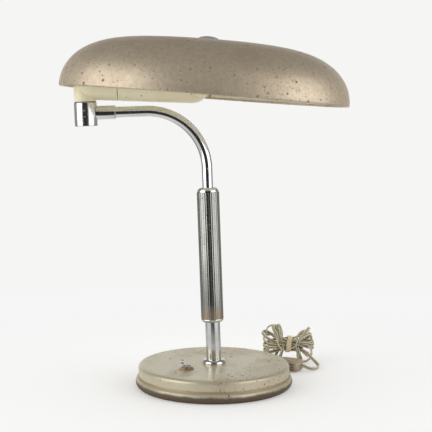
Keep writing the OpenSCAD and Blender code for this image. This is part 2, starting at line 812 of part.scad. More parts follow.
module roll_spindle() {
    color([0.72, 0.6, 0.32]) at_lamp() bar_ring(spindle_r, passage_r, roll_spindle_from, holder_x + 6);
}

module roll_spring() {
    color([0.6, 0.6, 0.62]) at_lamp()
        bar_ring(spring_r, spindle_r + fit, seam_x - web_t - face_gap - spring_t, seam_x - web_t - face_gap);
}

module roll_nuts() {
    behind = seam_x - web_t - face_gap - spring_t - thin_nut_h;
    color([0.66, 0.66, 0.66]) at_lamp() for (x = [behind, front_x + web_t, holder_x - thin_nut_h])
        translate([x, 0, 0]) rotate([0, 90, 0]) hex_nut(thin_nut_w, spindle_r + fit, thin_nut_h);
}

module head_lead() {
    color([0.55, 0.54, 0.5]) at_lamp() bar(lead_r, roll_spindle_from + 9, holder_x + 7);
}

// Lamp holder and bulb
module holder_base() {
    color([0.2, 0.17, 0.15]) at_lamp() difference() {
        bar(holder_r, holder_x, holder_split);
        bar(spindle_r + fit, holder_x - 1, holder_x + 6);
        bar(shell_r - 2, holder_x + 5.9, holder_split + 1);
    }
}

module holder_body() {
    color([0.93, 0.92, 0.88]) at_lamp() difference() {
        bar(holder_r, holder_split, holder_end);
        bar(shell_r + fit, holder_split - 1, holder_end + 1);
    }
}

module holder_shell() {
    color([0.8, 0.65, 0.3]) at_lamp()
        bar_ring(shell_r, bulb_cap_r + fit, holder_split + 0.2, holder_end - 2);
}

module bulb_cap() {
    color([0.78, 0.72, 0.5]) at_lamp() {
        bar(bulb_cap_r, bulb_from + 3, bulb_from + bulb_cap_len);
        bar(bulb_cap_r - 2.2, bulb_from, bulb_from + 3);
    }
}

module bulb_glass() {
    start = bulb_from + bulb_cap_len;
    color([0.95, 0.94, 0.9]) at_lamp() {
        translate([start, 0, 0]) rotate([0, 90, 0])
            cylinder(r1 = bulb_cap_r, r2 = bulb_r, h = bulb_neck_len);
        bar(bulb_r, start + bulb_neck_len, start + bulb_len - bulb_r);
        translate([start + bulb_len - bulb_r, 0, 0]) sphere(r = bulb_r);
    }
}

// The point (x, z) of the shade's frame, seen in the lamp's frame
function from_shade(x, z) = [
    shade_x + x * cos(shade_tilt) + z * sin(shade_tilt),
    -shade_drop - x * sin(shade_tilt) + z * cos(shade_tilt)
];

module strip(p, q) {
    step = q - p;
    translate(p) circle(strap_t / 2);
    translate(p) rotate(atan2(step[1], step[0])) translate([0, -strap_t / 2]) square([norm(step), strap_t]);
    translate(q) circle(strap_t / 2);
}

module strap_screw_places() {
    for (side = [-1, 1]) translate([pad_x + pad_len / 2 + side * 7, 0, 0]) children();
}

// Strap from the housing's pad to the shade's crown
module shade_strap() {
    foot = [pad_x + 1 + strap_t / 2, pad_z + strap_t / 2];
    knee = [strap_foot_x - strap_t / 2, pad_z + strap_t / 2];
    elbow = from_shade(-strap_w / 2 + strap_t / 2, crown_z - strap_t / 2);
    tip = from_shade(strap_w / 2 - strap_t / 2, crown_z - strap_t / 2);
    color([0.66, 0.65, 0.62]) difference() {
        at_lamp() rotate([90, 0, 0]) translate([0, 0, -strap_w / 2]) linear_extrude(strap_w) {
            strip(foot, knee);
            strip(knee, elbow);
            strip(elbow, tip);
        }
        at_shade() translate([0, 0, crown_z - strap_t - 1]) cylinder(r = strap_hole_r, h = strap_t + 2);
        at_lamp() strap_screw_places() translate([0, 0, pad_z - 1])
            cylinder(r = strap_screw_r + fit, h = strap_t + 2);
    }
}

module strap_screws() {
    color([0.66, 0.66, 0.66]) at_lamp() strap_screw_places() {
        translate([0, 0, pad_z - 6]) cylinder(r = strap_screw_r, h = 6 + strap_t);
        translate([0, 0, pad_z + strap_t]) cylinder(r = 3.6, h = 2);
    }
}

// Shade: an oval superellipse dome of sheet with a rolled rim, drawn ring by ring
function lobe(v, power) = sign(v) * pow(abs(v), 2 / power);
function oval(a, half_l, half_w) = [half_l * lobe(cos(a), plan_power), half_w * lobe(sin(a), plan_power)];
function dome_ring(turn, inset) = let(c = lobe(cos(turn), dome_flat), s = lobe(sin(turn), dome_steep))
    [for (i = [0 : round_steps - 1]) let(a = i * 360 / round_steps,
        p = oval(a, shade_len / 2 - inset, shade_w / 2 - inset)) [p[0] * c, p[1] * c, (shade_h - inset)
            * s]];
function rim_ring(turn) = [for (i = [0 : round_steps - 1]) let(a = i * 360 / round_steps,
    p = oval(a, shade_len / 2 - rim_r * (1 - cos(turn)), shade_w / 2 - rim_r * (1 - cos(turn))))
    [p[0], p[1], rim_r * sin(turn)]];

module shade() {
    turns = [for (i = [0 : dome_steps - 1]) 90 * pow((i + 0.7) / (dome_steps - 0.3), 1.1)];
    rim_turns = [-45, -90, -135, -180, -225];
    rings = concat(
        [for (i = [0 : dome_steps - 2]) dome_ring(90 - turns[i], 0)],
        [rim_ring(0)],
        [for (t = rim_turns) rim_ring(t)],
        [for (i = [dome_steps - 2 : -1 : 0]) dome_ring(90 - turns[i], shade_t)]
    );
    count = len(rings);
    points = concat([for (r = rings) each r], [[0, 0, shade_h], [0, 0, shade_h - shade_t]]);
    top = count * round_steps;
    inside = (count - 1) * round_steps;
    faces = concat(
        [for (k = [0 : count - 2], i = [0 : round_steps - 1]) let(j = (i + 1) % round_steps)
            [k * round_steps + i, (k + 1) * round_steps + i, (k + 1) * round_steps + j, k * round_steps + j]],
        [for (i = [0 : round_steps - 1]) [top, i, (i + 1) % round_steps]],
        [for (i = [0 : round_steps - 1]) [top + 1, inside + (i + 1) % round_steps, inside + i]]
    );
    color([0.66, 0.6, 0.5]) at_shade() difference() {
        polyhedron(points, faces, convexity = 6);
        translate([0, 0, shade_h - 5]) cylinder(r = crown_r, h = 10);
    }
}

module shade_cap() {
    shank_r = crown_r - 0.3;
    color([0.75, 0.73, 0.68]) at_shade() {
        translate([0, 0, shade_h]) rotate_extrude() intersection() {
            translate([0, cap_h - cap_r * 2.4]) circle(cap_r * 2.4);
            square([cap_r, cap_h]);
        }
        translate([0, 0, crown_z - strap_t - 8])
            cylinder(r = shank_r, h = shade_h - crown_z + strap_t + 8.1);
    }
}

module shade_nut() {
    color([0.66, 0.66, 0.66]) at_shade() translate([0, 0, crown_z - strap_t - 6])
        hex_nut(13, crown_r - 0.3 + fit, 6);
}

// Flex outside the base: one tube swept along a route of points
function unit(v) = v / norm(v);
function heading(p, i) = unit(p[min(i + 1, len(p) - 1)] - p[max(i - 1, 0)]);
function side_of(t) = norm(cross(t, [0, 0, 1])) > 0.01 ? unit(cross(t, [0, 0, 1])) : [0, 1, 0];

module swept(route, radii, sides = 8) {
    points = [for (i = [0 : len(route) - 1])
        let(t = heading(route, i), s = side_of(t), u = cross(s, t), r = is_list(radii) ? radii[i] : radii)
        for (k = [0 : sides - 1]) let(a = k * 360 / sides) route[i] + r * (cos(a) * s + sin(a) * u)];
    last = (len(route) - 1) * sides;
    polyhedron(points, concat(
        [[for (k = [0 : sides - 1]) k]],
        [[for (k = [sides - 1 : -1 : 0]) last + k]],
        [for (i = [0 : len(route) - 2], k = [0 : sides - 1]) let(n = (k + 1) % sides)
            [i * sides + k, (i + 1) * sides + k, (i + 1) * sides + n, i * sides + n]]
    ));
}

module cord_run() {
    color([0.6, 0.58, 0.53]) swept(run_route, cord_r);
}

module cord_tail() {
    color([0.6, 0.58, 0.53]) swept(tail_route, cord_r);
}

// The tied hank: a bow of loops, pinched where the tie holds it
module hank_outline() {
    translate([79, 32.5]) circle(15);
    translate([82, 19]) circle(10);
    translate([118.5, 33]) circle(13.5);
    translate([121.5, 12.5]) circle(12.5);
    translate([84, 14]) square([32, 18]);
}

module tie_section(grow) {
    half = tie_half + [grow, grow];
    translate([-half[0] + 3, -half[1]]) square([2 * half[0] - 6, 2 * half[1]]);
    translate([-half[0], -half[1] + 3]) square([2 * half[0], 2 * half[1] - 6]);
    for (x = [-1, 1], y = [-1, 1]) translate([x * (half[0] - 3), y * (half[1] - 3)]) circle(3);
}

module along_tie(width) {
    translate([hank_mid_x - width / 2, (hank_low_y + hank_high_y) / 2, hank_mid_z])
        rotate([90, 0, 90]) linear_extrude(width) children();
}

module cord_hank() {
    color([0.6, 0.58, 0.53]) difference() {
        translate([0, hank_high_y, 0]) rotate([90, 0, 0]) linear_extrude(hank_high_y - hank_low_y)
            hank_outline();
        along_tie(tie_w + 0.4) difference() {
            square([80, 80], center = true);
            tie_section(0);
        }
    }
}

module cord_tie() {
    color([0.75, 0.65, 0.5]) along_tie(tie_w) difference() {
        tie_section(tie_t);
        tie_section(0);
    }
}

// Plug: its x runs from the flex's entry to the pins
module plug_plan() {
    translate([4, -plug_w / 2]) square([plug_len - 4 - 3, plug_w]);
    translate([plug_len - 4, -plug_w / 2 + 3]) square([4, plug_w - 6]);
    for (y = [-1, 1]) translate([plug_len - 3, y * (plug_w / 2 - 3)]) circle(3);
    intersection() {
        translate([plug_w / 2, 0]) circle(plug_w / 2);
        translate([0, -plug_w / 2]) square([plug_w / 2, plug_w]);
    }
}

module plug_body() {
    color([0.36, 0.27, 0.2]) at_plug() difference() {
        intersection() {
            translate([0, 0, -plug_h / 2]) linear_extrude(plug_h) plug_plan();
            rotate([90, 0, 0]) translate([0, 0, -plug_w]) linear_extrude(2 * plug_w) {
                translate([6, -plug_h / 2]) square([plug_len - 6, plug_h]);
                translate([0, -plug_h / 2 + 6]) square([8, plug_h - 12]);
                for (z = [-1, 1]) translate([6, z * (plug_h / 2 - 6)]) circle(6);
            }
        }
        for (side = [-1, 1], z = [-2 : 2]) translate([9, side * plug_w / 2, z * plug_h / 6])
            bar(0.7, 0, plug_len - 14);
        for (side = [-1, 1]) translate([0, side * pin_gap / 2, 0])
            bar(pin_r + fit, plug_len - 8, plug_len + 1);
    }
}

module plug_pins() {
    color([0.8, 0.7, 0.4]) at_plug() for (side = [-1, 1]) translate([0, side * pin_gap / 2, 0]) {
        bar(pin_r, plug_len - 8, plug_len + pin_len - pin_r);
        translate([plug_len + pin_len - pin_r, 0, 0]) sphere(r = pin_r, $fn = 24);
    }
}

base_shell();
base_weight();
base_plate();
base_felt();
plate_screws();
stem_foot();
stem_washer();
stem_nut();
stem_tube();
stem_guide();
switch_body();
switch_bush();
switch_nut();
switch_terminals();
toggle_lever();
cord_relief();
cord_clamp();
clamp_screws();
base_lead();
brake_bush();
brake_liner();
sleeve();
lower_collar();
bush_ring();
upper_collar();
sleeve_plug();
arm_tube();
arm_ferrule();
swivel_drum();
drum_cap();
arm_lead();
rear_housing();
housing_lid();
neck_washer();
neck_spindle();
neck_spring();
neck_nut();
neck_lead();
front_housing();
roll_spindle();
roll_spring();
roll_nuts();
head_lead();
holder_base();
holder_body();
holder_shell();
bulb_cap();
bulb_glass();
shade_strap();
strap_screws();
shade();
shade_cap();
shade_nut();
cord_run();
cord_hank();
cord_tail();
cord_tie();
plug_body();
plug_pins();
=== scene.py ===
"""Dome shade desk lamp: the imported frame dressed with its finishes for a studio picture.

Lengths are in millimetres up to the mesh makers, which turn them into metres.
"""
import json
import math
import random

import bmesh
import bpy
import numpy as np
from mathutils import Matrix, Vector


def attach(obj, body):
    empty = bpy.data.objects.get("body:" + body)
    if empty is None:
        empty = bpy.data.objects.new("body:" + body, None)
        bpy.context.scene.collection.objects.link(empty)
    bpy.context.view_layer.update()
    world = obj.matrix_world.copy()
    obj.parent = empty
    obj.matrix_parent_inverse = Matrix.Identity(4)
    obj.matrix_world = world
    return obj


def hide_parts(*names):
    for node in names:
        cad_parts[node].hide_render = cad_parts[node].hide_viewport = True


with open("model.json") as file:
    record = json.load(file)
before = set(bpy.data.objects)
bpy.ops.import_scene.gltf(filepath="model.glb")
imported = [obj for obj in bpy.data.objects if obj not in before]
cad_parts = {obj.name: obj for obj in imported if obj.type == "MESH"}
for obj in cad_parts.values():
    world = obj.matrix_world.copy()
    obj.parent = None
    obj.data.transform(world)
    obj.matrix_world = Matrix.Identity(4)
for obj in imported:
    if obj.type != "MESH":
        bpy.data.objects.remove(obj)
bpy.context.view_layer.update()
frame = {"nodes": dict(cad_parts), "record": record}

NODES = frame["nodes"]
BODY_OF = {n: b for b, members in frame["record"]["behaviour"]["bodies"].items() for n in members}
SLOT_OF = {row["node"]: row["material_slot"] for row in frame["record"]["subparts"]}
MM = 0.001
MERGE = 2e-6                                           # metres between points that are one

# ------------------------------------------------------------------ sizes, as in the part's source
BASE_R, BASE_H, BASE_WALL_R, BASE_SHEET = 95.0, 26.5, 91.5, 1.2
BEAD_R, BEAD_Z, BASE_ROUND, LIP_Z = 7.0, 6.3, 4.0, 0.5
STEM_LEAN, STEM_R, STEM_BORE_R, STEM_TOP = 2.0, 9.0, 7.8, 155.0
FLANGE_R, FLANGE_H, STUD_R, STUD_LEN, STUD_BORE_R = 13.8, 5.0, 5.0, 20.0, 2.6
SLEEVE_FROM, SLEEVE_LEN, SLEEVE_R, SLEEVE_BORE_R = 55.0, 153.0, 13.5, 11.2
FLUTES, FLUTE_DEPTH = 36, 0.16
COLLAR_R, LOWER_COLLAR_H, DOME_R, UPPER_COLLAR_H = 13.7, 4.0, 13.1, 6.0
ARM_HEIGHT, ARM_BEND_R, ARM_R, ARM_BORE_R, ARM_REACH = 306.7, 70.0, 6.5, 5.3, 141.6
FERRULE_R, FERRULE_LEN, DRUM_R, DRUM_BORE_R, DRUM_UP, DRUM_DOWN = 8.3, 22.0, 13.7, 11.5, 12.6, 15.4
HOUSING_RISE, HOUSING_DROOP, HOUSING_R, HOUSING_WALL = 38.3, 3.9, 22.2, 2.6
NECK_R, SEAM_X, NOSE_X, NOSE_HOLE_R, ROUND_X, SEAT_R = 13.2, 40.8, 127.6, 14.0, 10.6, 5.05
SHADE_LEN, SHADE_W, SHADE_H, SHADE_SHEET, RIM_R = 343.4, 247.0, 63.8, 0.8, 1.6
DOME_FLAT, DOME_STEEP, PLAN_POWER = 4.15, 2.0, 2.17
SHADE_X, SHADE_DROP, SHADE_TILT = 142.8, 12.5, 2.4
CAP_R, CAP_H, CAP_EDGE = 13.4, 5.8, 1.2
BULB_FROM, BULB_R, BULB_BODY = 113.0, 11.0, 73.0
SWITCH_X, SWITCH_Y, PIVOT_Z, BUSH_R, NUT_BORE_R = -32.3, -32.3, 28.0, 5.85, 5.9
TOGGLE_LEAN, TOGGLE_LEN, TOGGLE_BALL_R, TOGGLE_ROOT_R = 36.0, 9.4, 2.5, 2.9
OUTLET_Z, RELIEF_LEN, RELIEF_BORE_R, RELIEF_THICK, RELIEF_THIN = 17.6, 22.0, 2.35, 4.0, 3.0
PLUG_AT, PLUG_TURN, PLUG_SQUARE = (111.0, 63.0, 7.5), 152.0, 0.62
FLEX_W, FLEX_T = 4.4, 2.2
HANK_MID, MOUTH_X = np.array((99.0, 121.0, 23.0)), 5.0
TIE_HALF, TIE_W, TIE_T = 9.2, 6.0, 0.9

RUN_ROUTE = [
    (0, 96.5, 17.6), (0, 113.5, 17.6), (0, 119, 17.2), (0.6, 125, 15), (2.5, 131, 10.5), (6, 137, 6),
    (12, 142, 3.2), (20, 144, 2.5), (29, 142.5, 2.5), (38, 138, 2.5), (47, 131.5, 2.5), (55, 124.5, 3.4),
    (62, 119, 6.5), (67, 116, 11.5), (69.9, 115, 16.5)]
TAIL_ROUTE = [
    (123, 105.9, 14), (123, 104.8, 14), (123.3, 102.5, 13.7), (124.5, 99.4, 12.7), (126.4, 96.9, 10.9),
    (129.2, 94.5, 8.4), (132.2, 91.9, 5.6), (134, 89.6, 3.9), (135.2, 86.9, 2.9), (135.6, 83.9, 2.5),
    (134.6, 77, 2.5), (131.4, 69.5, 2.6), (126.2, 62.9, 3.4), (120.5, 60, 5), (115.6, 60.6, 7.2),
    (111.1, 62.95, 7.5)]


# ------------------------------------------------------------------ frames of reference
def turned(degrees, axis="Y"):
    return Matrix.Rotation(math.radians(degrees), 4, axis)


def shifted(x, y, z):
    return Matrix.Translation((x, y, z))


UPRIGHT = Matrix.Identity(4)
LEANED = shifted(0, 0, BASE_H) @ turned(-STEM_LEAN)
SWIVEL = LEANED @ shifted(-ARM_REACH, 0, 0)
LAMP = SWIVEL @ shifted(0, 0, ARM_HEIGHT + HOUSING_RISE) @ turned(HOUSING_DROOP)
SHADE = LAMP @ shifted(SHADE_X, 0, -SHADE_DROP) @ turned(SHADE_TILT)
PLUG = shifted(*PLUG_AT) @ turned(PLUG_TURN, "Z")
SWITCH = shifted(SWITCH_X, SWITCH_Y, 0)
ALONG_X = turned(90)                                   # a shape spun about Z, laid along +x


# ------------------------------------------------------------------ camera
LENS, SENSOR, CAMERA_AT, CAMERA_DOWN = 85.83, 36, (0.00242, -1.2298, 0.3211), 5.37


def new_object(name, data):
    made = bpy.data.objects.new(name, data)
    bpy.context.scene.collection.objects.link(made)
    return made


def make_camera():
    data = bpy.data.cameras.new("camera")
    data.sensor_width, data.lens = SENSOR, LENS
    data.clip_start, data.clip_end = 0.05, 60
    camera = new_object("camera", data)
    camera.location = CAMERA_AT
    camera.rotation_euler = (math.radians(90 - CAMERA_DOWN), 0, 0)
    bpy.context.scene.camera = camera


make_camera()


# ------------------------------------------------------------------ outlines
def arc(cx, cz, r, a1, a2, steps=8, rise=None):
    """Points of a circle from angle a1 to a2. With a rise it is an oval that high."""
    angles = [math.radians(a1 + (a2 - a1) * i / steps) for i in range(steps + 1)]
    return [(cx + r * math.cos(a), cz + (rise or r) * math.sin(a)) for a in angles]


def ring(r, sides):
    angles = [2 * math.pi * i / sides for i in range(sides)]
    return [(r * math.cos(a), r * math.sin(a)) for a in angles]


def squared_oval(half_x, half_y, power, count):
    """An oval whose corners fill out as the power falls below 1."""
    return [(half_x * math.copysign(abs(c) ** power, c), half_y * math.copysign(abs(s) ** power, s))
            for c, s in ring(1, count)]


def filleted(corners, steps=5):
    """corners are (r, z, rounding); a rounded corner becomes a short curve."""
    out = []
    for i, (x, z, rounding) in enumerate(corners):
        if not rounding or i in (0, len(corners) - 1):
            out.append((x, z))
            continue
        here = Vector((x, z))
        a, b = (Vector(corners[k][:2]) - here for k in (i - 1, i + 1))
        reach = min(rounding, a.length * 0.49, b.length * 0.49)
        p, q = here + a.normalized() * reach, here + b.normalized() * reach
        for t in (k / steps for k in range(steps + 1)):
            out.append(tuple(p * (1 - t) ** 2 + here * 2 * t * (1 - t) + q * t * t))
    return out


# ------------------------------------------------------------------ mesh makers
def new_mesh(name, points, faces, where=UPRIGHT):
    """A mesh in metres from points in millimetres, put in its place."""
    mesh = bpy.data.meshes.new(name)
    mesh.from_pydata([tuple((where @ Vector(p)) * MM) for p in points], [], faces)
    return mesh


def ring_faces(rings, count, capped=True):
    """Quads between rings of count points each. When capped, a face closes each end."""
    faces = [(i * count + k, i * count + (k + 1) % count,
              (i + 1) * count + (k + 1) % count, (i + 1) * count + k)
             for i in range(rings - 1) for k in range(count)]
    if capped:
        faces += [tuple(range(count))[::-1], tuple((rings - 1) * count + k for k in range(count))]
    return faces


def spun_mesh(name, profile, where, around=96, closed=True):
    """A profile of (r, z) points spun about Z. A closed profile joins its end to its start."""
    points, faces, rows = [], [], []
    for r, z in profile:
        on_axis = r < 1e-6
        rows.append([len(points)] * around if on_axis else list(range(len(points), len(points) + around)))
        points += [(0, 0, z)] if on_axis else [(x, y, z) for x, y in ring(r, around)]
    for low, high in list(zip(rows, rows[1:])) + [(rows[-1], rows[0])] * closed:
        for i in range(around):
            j = (i + 1) % around
            face = list(dict.fromkeys((low[i], low[j], high[j], high[i])))
            if len(face) > 2:
                faces.append(face)
    return new_mesh(name, points, faces, where)


def tangents(path):
    t = np.gradient(path, axis=0)
    return t / np.linalg.norm(t, axis=1)[:, None]


def tube_mesh(name, path, sides, section, where=UPRIGHT):
    """A tube along a path. Its section's (x, y) points have x along the path's side at each ring."""
    across = np.cross(tangents(path), sides)
    points = [p + s * x + u * y for p, s, u in zip(path, sides, across) for x, y in section]
    return new_mesh(name, points, ring_faces(len(path), len(section)), where)


def joined(name, meshes):
    """Several meshes as one."""
    bm = bmesh.new()
    for mesh in meshes:
        bm.from_mesh(mesh)
    out = bpy.data.meshes.new(name)
    bm.to_mesh(out)
    bm.free()
    return out


def dress(name, mesh, *nodes, looks=(), angle=34, turn_out=True):
    """The mesh as a piece that stands for those nodes. Edges sharper than angle stay sharp."""
    bm = bmesh.new()
    bm.from_mesh(mesh)
    bmesh.ops.remove_doubles(bm, verts=bm.verts, dist=MERGE)
    if turn_out:
        bmesh.ops.recalc_face_normals(bm, faces=bm.faces)
    for face in bm.faces:
        face.smooth = True
    for edge in bm.edges:
        edge.smooth = len(edge.link_faces) == 2 and edge.calc_face_angle(0) < math.radians(angle)
    bm.to_mesh(mesh)
    bm.free()
    piece = new_object(name, mesh)
    for look in looks or [SLOT_LOOKS[SLOT_OF[nodes[0]]]]:
        mesh.materials.append(look)
    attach(piece, BODY_OF[nodes[0]])
    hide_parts(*nodes)
    return piece


def spun(name, profile, where, *nodes, around=96, closed=True, **finish):
    return dress(name, spun_mesh(name, profile, where, around, closed), *nodes, **finish)


def smoothed_copy(node):
    """A frame node with its faces joined and shaded smooth, standing for the node."""
    mesh = NODES[node].data.copy()
    mesh.materials.clear()
    for name in ("custom_normal", "sharp_face", "sharp_edge"):
        if mesh.attributes.get(name):
            mesh.attributes.remove(mesh.attributes[name])
    dress(node + "_smooth", mesh, node, angle=30, turn_out=False)


# ------------------------------------------------------------------ node trees
def feed(tree, socket, value):
    """Links a socket from another node's output, or sets it to a number, a colour or a vector."""
    if isinstance(value, bpy.types.NodeSocket):
        tree.links.new(value, socket)
    elif value is not None:
        socket.default_value = (*value, 1) if socket.type == "RGBA" else value


def put(tree, kind, *inputs, how=None, **named):
    """Adds a node and gives its outputs. Inputs go by place or by name, with _ for a space."""
    node = tree.nodes.new(kind)
    if how:
        setattr(node, *how)
    for socket, value in zip(node.inputs, inputs):
        feed(tree, socket, value)
    for key, value in named.items():
        feed(tree, node.inputs[key.replace("_", " ")], value)
    return node.outputs


def new_tree(name, kind, inputs, outputs):
    """A tree with named inputs, each given by its usual value or its kind, and named outputs."""
    tree = bpy.data.node_groups.new(name, kind)
    for socket, value in inputs.items():
        usual = not isinstance(value, str)
        kind = {int: "Int", float: "Float"}[type(value)] if usual else value
        made = tree.interface.new_socket(socket, in_out="INPUT", socket_type="NodeSocket" + kind)
        if usual:
            made.default_value = value
    for socket, kind in outputs.items():
        tree.interface.new_socket(socket, in_out="OUTPUT", socket_type="NodeSocket" + kind)
    return tree, tree.nodes.new("NodeGroupInput").outputs, tree.nodes.new("NodeGroupOutput").inputs


def calc(tree, operation, a, b=None):
    return put(tree, "ShaderNodeMath", a, b, how=("operation", operation))[0]


def noise(tree, vector, scale, detail=2.0, rough=0.5, distortion=0.0):
    return put(tree, "ShaderNodeTexNoise", Vector=vector, Scale=scale, Detail=detail, Roughness=rough,
               Distortion=distortion)["Fac"]


def ramp(tree, value, low, high, out_low=0.0, out_high=1.0):
    return put(tree, "ShaderNodeMapRange", value, low, high, out_low, out_high,
               how=("interpolation_type", "SMOOTHSTEP"))[0]


def mixed(tree, mask, a, b):
    """a where the mask is 0 and b where it is 1. They are colours if b is one, and else numbers."""
    if isinstance(b, tuple):
        return put(tree, "ShaderNodeMix", mask, *[None] * 5, a, b, how=("data_type", "RGBA"))[2]
    return put(tree, "ShaderNodeMix", mask, None, a, b, how=("data_type", "FLOAT"))[0]


# ------------------------------------------------------------------ shared effects
def make_rust_group():
    """Pin-head rust: small spots of uneven size that gather in some places and spare others."""
    tree, given, result = new_tree(
        "rust_specks", "ShaderNodeTree", {"Vector": "Vector", "Scale": 300.0, "Amount": 0.5, "Gather": 14.0},
        {"Mask": "Float", "Halo": "Float"})
    cells = put(tree, "ShaderNodeTexVoronoi", Vector=given["Vector"], Scale=given["Scale"])
    draw = put(tree, "ShaderNodeSeparateColor", cells["Color"])
    crowd = ramp(tree, noise(tree, given["Vector"], given["Gather"], 3.0, 0.6), 0.38, 0.64)
    kept = calc(tree, "LESS_THAN", draw[0], calc(tree, "MULTIPLY", crowd, given["Amount"]))
    size = calc(tree, "MULTIPLY", calc(tree, "POWER", draw[1], 3.0), 0.34)
    inside = calc(tree, "SUBTRACT", calc(tree, "ADD", size, 0.10), cells["Distance"])
    for socket, low, high in (("Mask", -0.02, 0.12), ("Halo", -0.30, 0.10)):
        feed(tree, result[socket], calc(tree, "MULTIPLY", ramp(tree, inside, low, high), kept))
    return tree


def make_mottle_group():
    """Cloudy ageing: a wide stain and a fine cloud, each from 0 to 1."""
    tree, given, result = new_tree(
        "age_mottle", "ShaderNodeTree",
        {"Vector": "Vector", "Wide Scale": 12.0, "Fine Scale": 160.0, "Cover": 0.5},
        {"Stain": "Float", "Cloud": "Float"})
    wide = noise(tree, given["Vector"], given["Wide Scale"], 5.0, 0.6, 0.4)
    fine = noise(tree, given["Vector"], given["Fine Scale"], 4.0, 0.6)
    bare = calc(tree, "SUBTRACT", 0.78, calc(tree, "MULTIPLY", given["Cover"], 0.5))
    feed(tree, result["Stain"], ramp(tree, calc(tree, "SUBTRACT", wide, bare), -0.1, 0.12))
    feed(tree, result["Cloud"], ramp(tree, fine, 0.3, 0.7))
    return tree


def make_grain_group():
    """Height of a sprayed or cast skin: orange peel with fine grit on it."""
    tree, given, result = new_tree(
        "skin_grain", "ShaderNodeTree",
        {"Vector": "Vector", "Peel Scale": 260.0, "Grit Scale": 1500.0, "Grit": 0.4}, {"Height": "Float"})
    peel = noise(tree, given["Vector"], given["Peel Scale"], 1.5)
    grit = calc(tree, "MULTIPLY", noise(tree, given["Vector"], given["Grit Scale"]), given["Grit"])
    feed(tree, result["Height"], calc(tree, "ADD", peel, grit))
    return tree


def make_band_group():
    """Rises from 0 to 1 between two places on one coordinate, with an uneven edge."""
    tree, given, result = new_tree(
        "uneven_band", "ShaderNodeTree",
        {"Vector": "Vector", "Place": 0.0, "From": 0.0, "To": 0.01, "Raggedness": 0.002, "Scale": 120.0},
        {"Mask": "Float"})
    rag = calc(tree, "SUBTRACT", noise(tree, given["Vector"], given["Scale"], 4.0, 0.65), 0.5)
    place = calc(tree, "ADD", given["Place"], calc(tree, "MULTIPLY", rag, given["Raggedness"]))
    feed(tree, result["Mask"], ramp(tree, place, given["From"], given["To"]))
    return tree


RUST, MOTTLE, GRAIN, BAND = make_rust_group(), make_mottle_group(), make_grain_group(), make_band_group()


# ------------------------------------------------------------------ finishes
class Finish:
    """A material on Object coordinates, built up layer by layer over its first colour."""

    def __init__(self, name, colour, rough, metal=0.0):
        self.material = bpy.data.materials.new(name)
        self.material.use_nodes = True
        self.tree = self.material.node_tree
        self.place = put(self.tree, "ShaderNodeTexCoord")["Object"]
        self.colour, self.rough, self.metal = colour, rough, metal

    def effect(self, group, **values):
        return put(self.tree, "ShaderNodeGroup", how=("node_tree", group), Vector=self.place, **values)

    def layer(self, mask, colour, rough=None, metal=None, strength=1.0):
        if strength != 1.0:
            mask = calc(self.tree, "MULTIPLY", mask, strength)
        self.colour = mixed(self.tree, mask, self.colour, colour)
        if rough is not None:
            self.rough = mixed(self.tree, mask, self.rough, rough)
        if metal is not None:
            self.metal = mixed(self.tree, mask, self.metal, metal)

    def mottle(self, colour, cover=0.5, wide=12.0, strength=0.5, rough=None, metal=None):
        """Wide stains of another colour."""
        stain = self.effect(MOTTLE, Wide_Scale=wide, Fine_Scale=wide * 14, Cover=cover)["Stain"]
        self.layer(stain, colour, rough, metal, strength)

    def cloud(self, colour, scale, strength):
        """A fine cloud of another colour."""
        self.layer(self.effect(MOTTLE, Wide_Scale=scale / 14, Fine_Scale=scale)["Cloud"], colour,
                   strength=strength)

    def rust(self, amount, scale, gather=14.0, spot=(0.13, 0.075, 0.045), halo=(0.27, 0.19, 0.12),
             halo_strength=0.5, strength=0.9, within=None):
        """Rust spots with a stained edge, only where the mask within says if it is given."""
        specks = self.effect(RUST, Scale=scale, Amount=amount, Gather=gather)
        edge, middle = specks["Halo"], specks["Mask"]
        if within is not None:
            edge, middle = (calc(self.tree, "MULTIPLY", m, within) for m in (edge, middle))
        self.layer(edge, halo, 0.6, 0.15, halo_strength)
        self.layer(middle, spot, 0.8, 0.0, strength)

    def above(self, start, end, ragged, scale):
        """Mask that is 0 below a height in metres and 1 above it."""
        height = put(self.tree, "ShaderNodeSeparateXYZ", self.place)[2]
        return self.effect(BAND, Place=height, From=start, To=end, Raggedness=ragged, Scale=scale)["Mask"]

    def below(self, *edge):
        return calc(self.tree, "SUBTRACT", 1.0, self.above(*edge))

    def grained(self, strength, distance=0.0002, peel=260.0, grit=0.4):
        """The finished material, with the grain of its skin."""
        height = self.effect(GRAIN, Peel_Scale=peel, Grit=grit)["Height"]
        bump = put(self.tree, "ShaderNodeBump", Strength=strength, Distance=distance, Height=height)["Normal"]
        shader = self.tree.nodes["Principled BSDF"].inputs
        for socket, value in (("Base Color", self.colour), ("Roughness", self.rough),
                              ("Metallic", self.metal), ("Normal", bump)):
            feed(self.tree, shader[socket], value)
        return self.material


def shade_outside_look():
    f = Finish("champagne_lacquer", (0.67, 0.57, 0.43), 0.42, 0.66)
    f.cloud((0.50, 0.40, 0.285), 210.0, 0.6)
    f.mottle((0.47, 0.375, 0.27), 0.45, 11.0, 0.45, rough=0.46)
    low = f.below(0.374, 0.396, 0.03, 30.0)
    f.rust(0.85, 470.0, 13.0, (0.25, 0.165, 0.10), (0.40, 0.30, 0.19), 0.6, 0.8, low)
    f.rust(0.45, 280.0, 10.0, (0.19, 0.12, 0.068), (0.35, 0.25, 0.155), 0.5, 0.85, low)
    f.rust(0.07, 215.0, 8.0, (0.16, 0.095, 0.055), halo_strength=0.45)
    return f.grained(0.22, 0.00012, 420.0, 0.7)


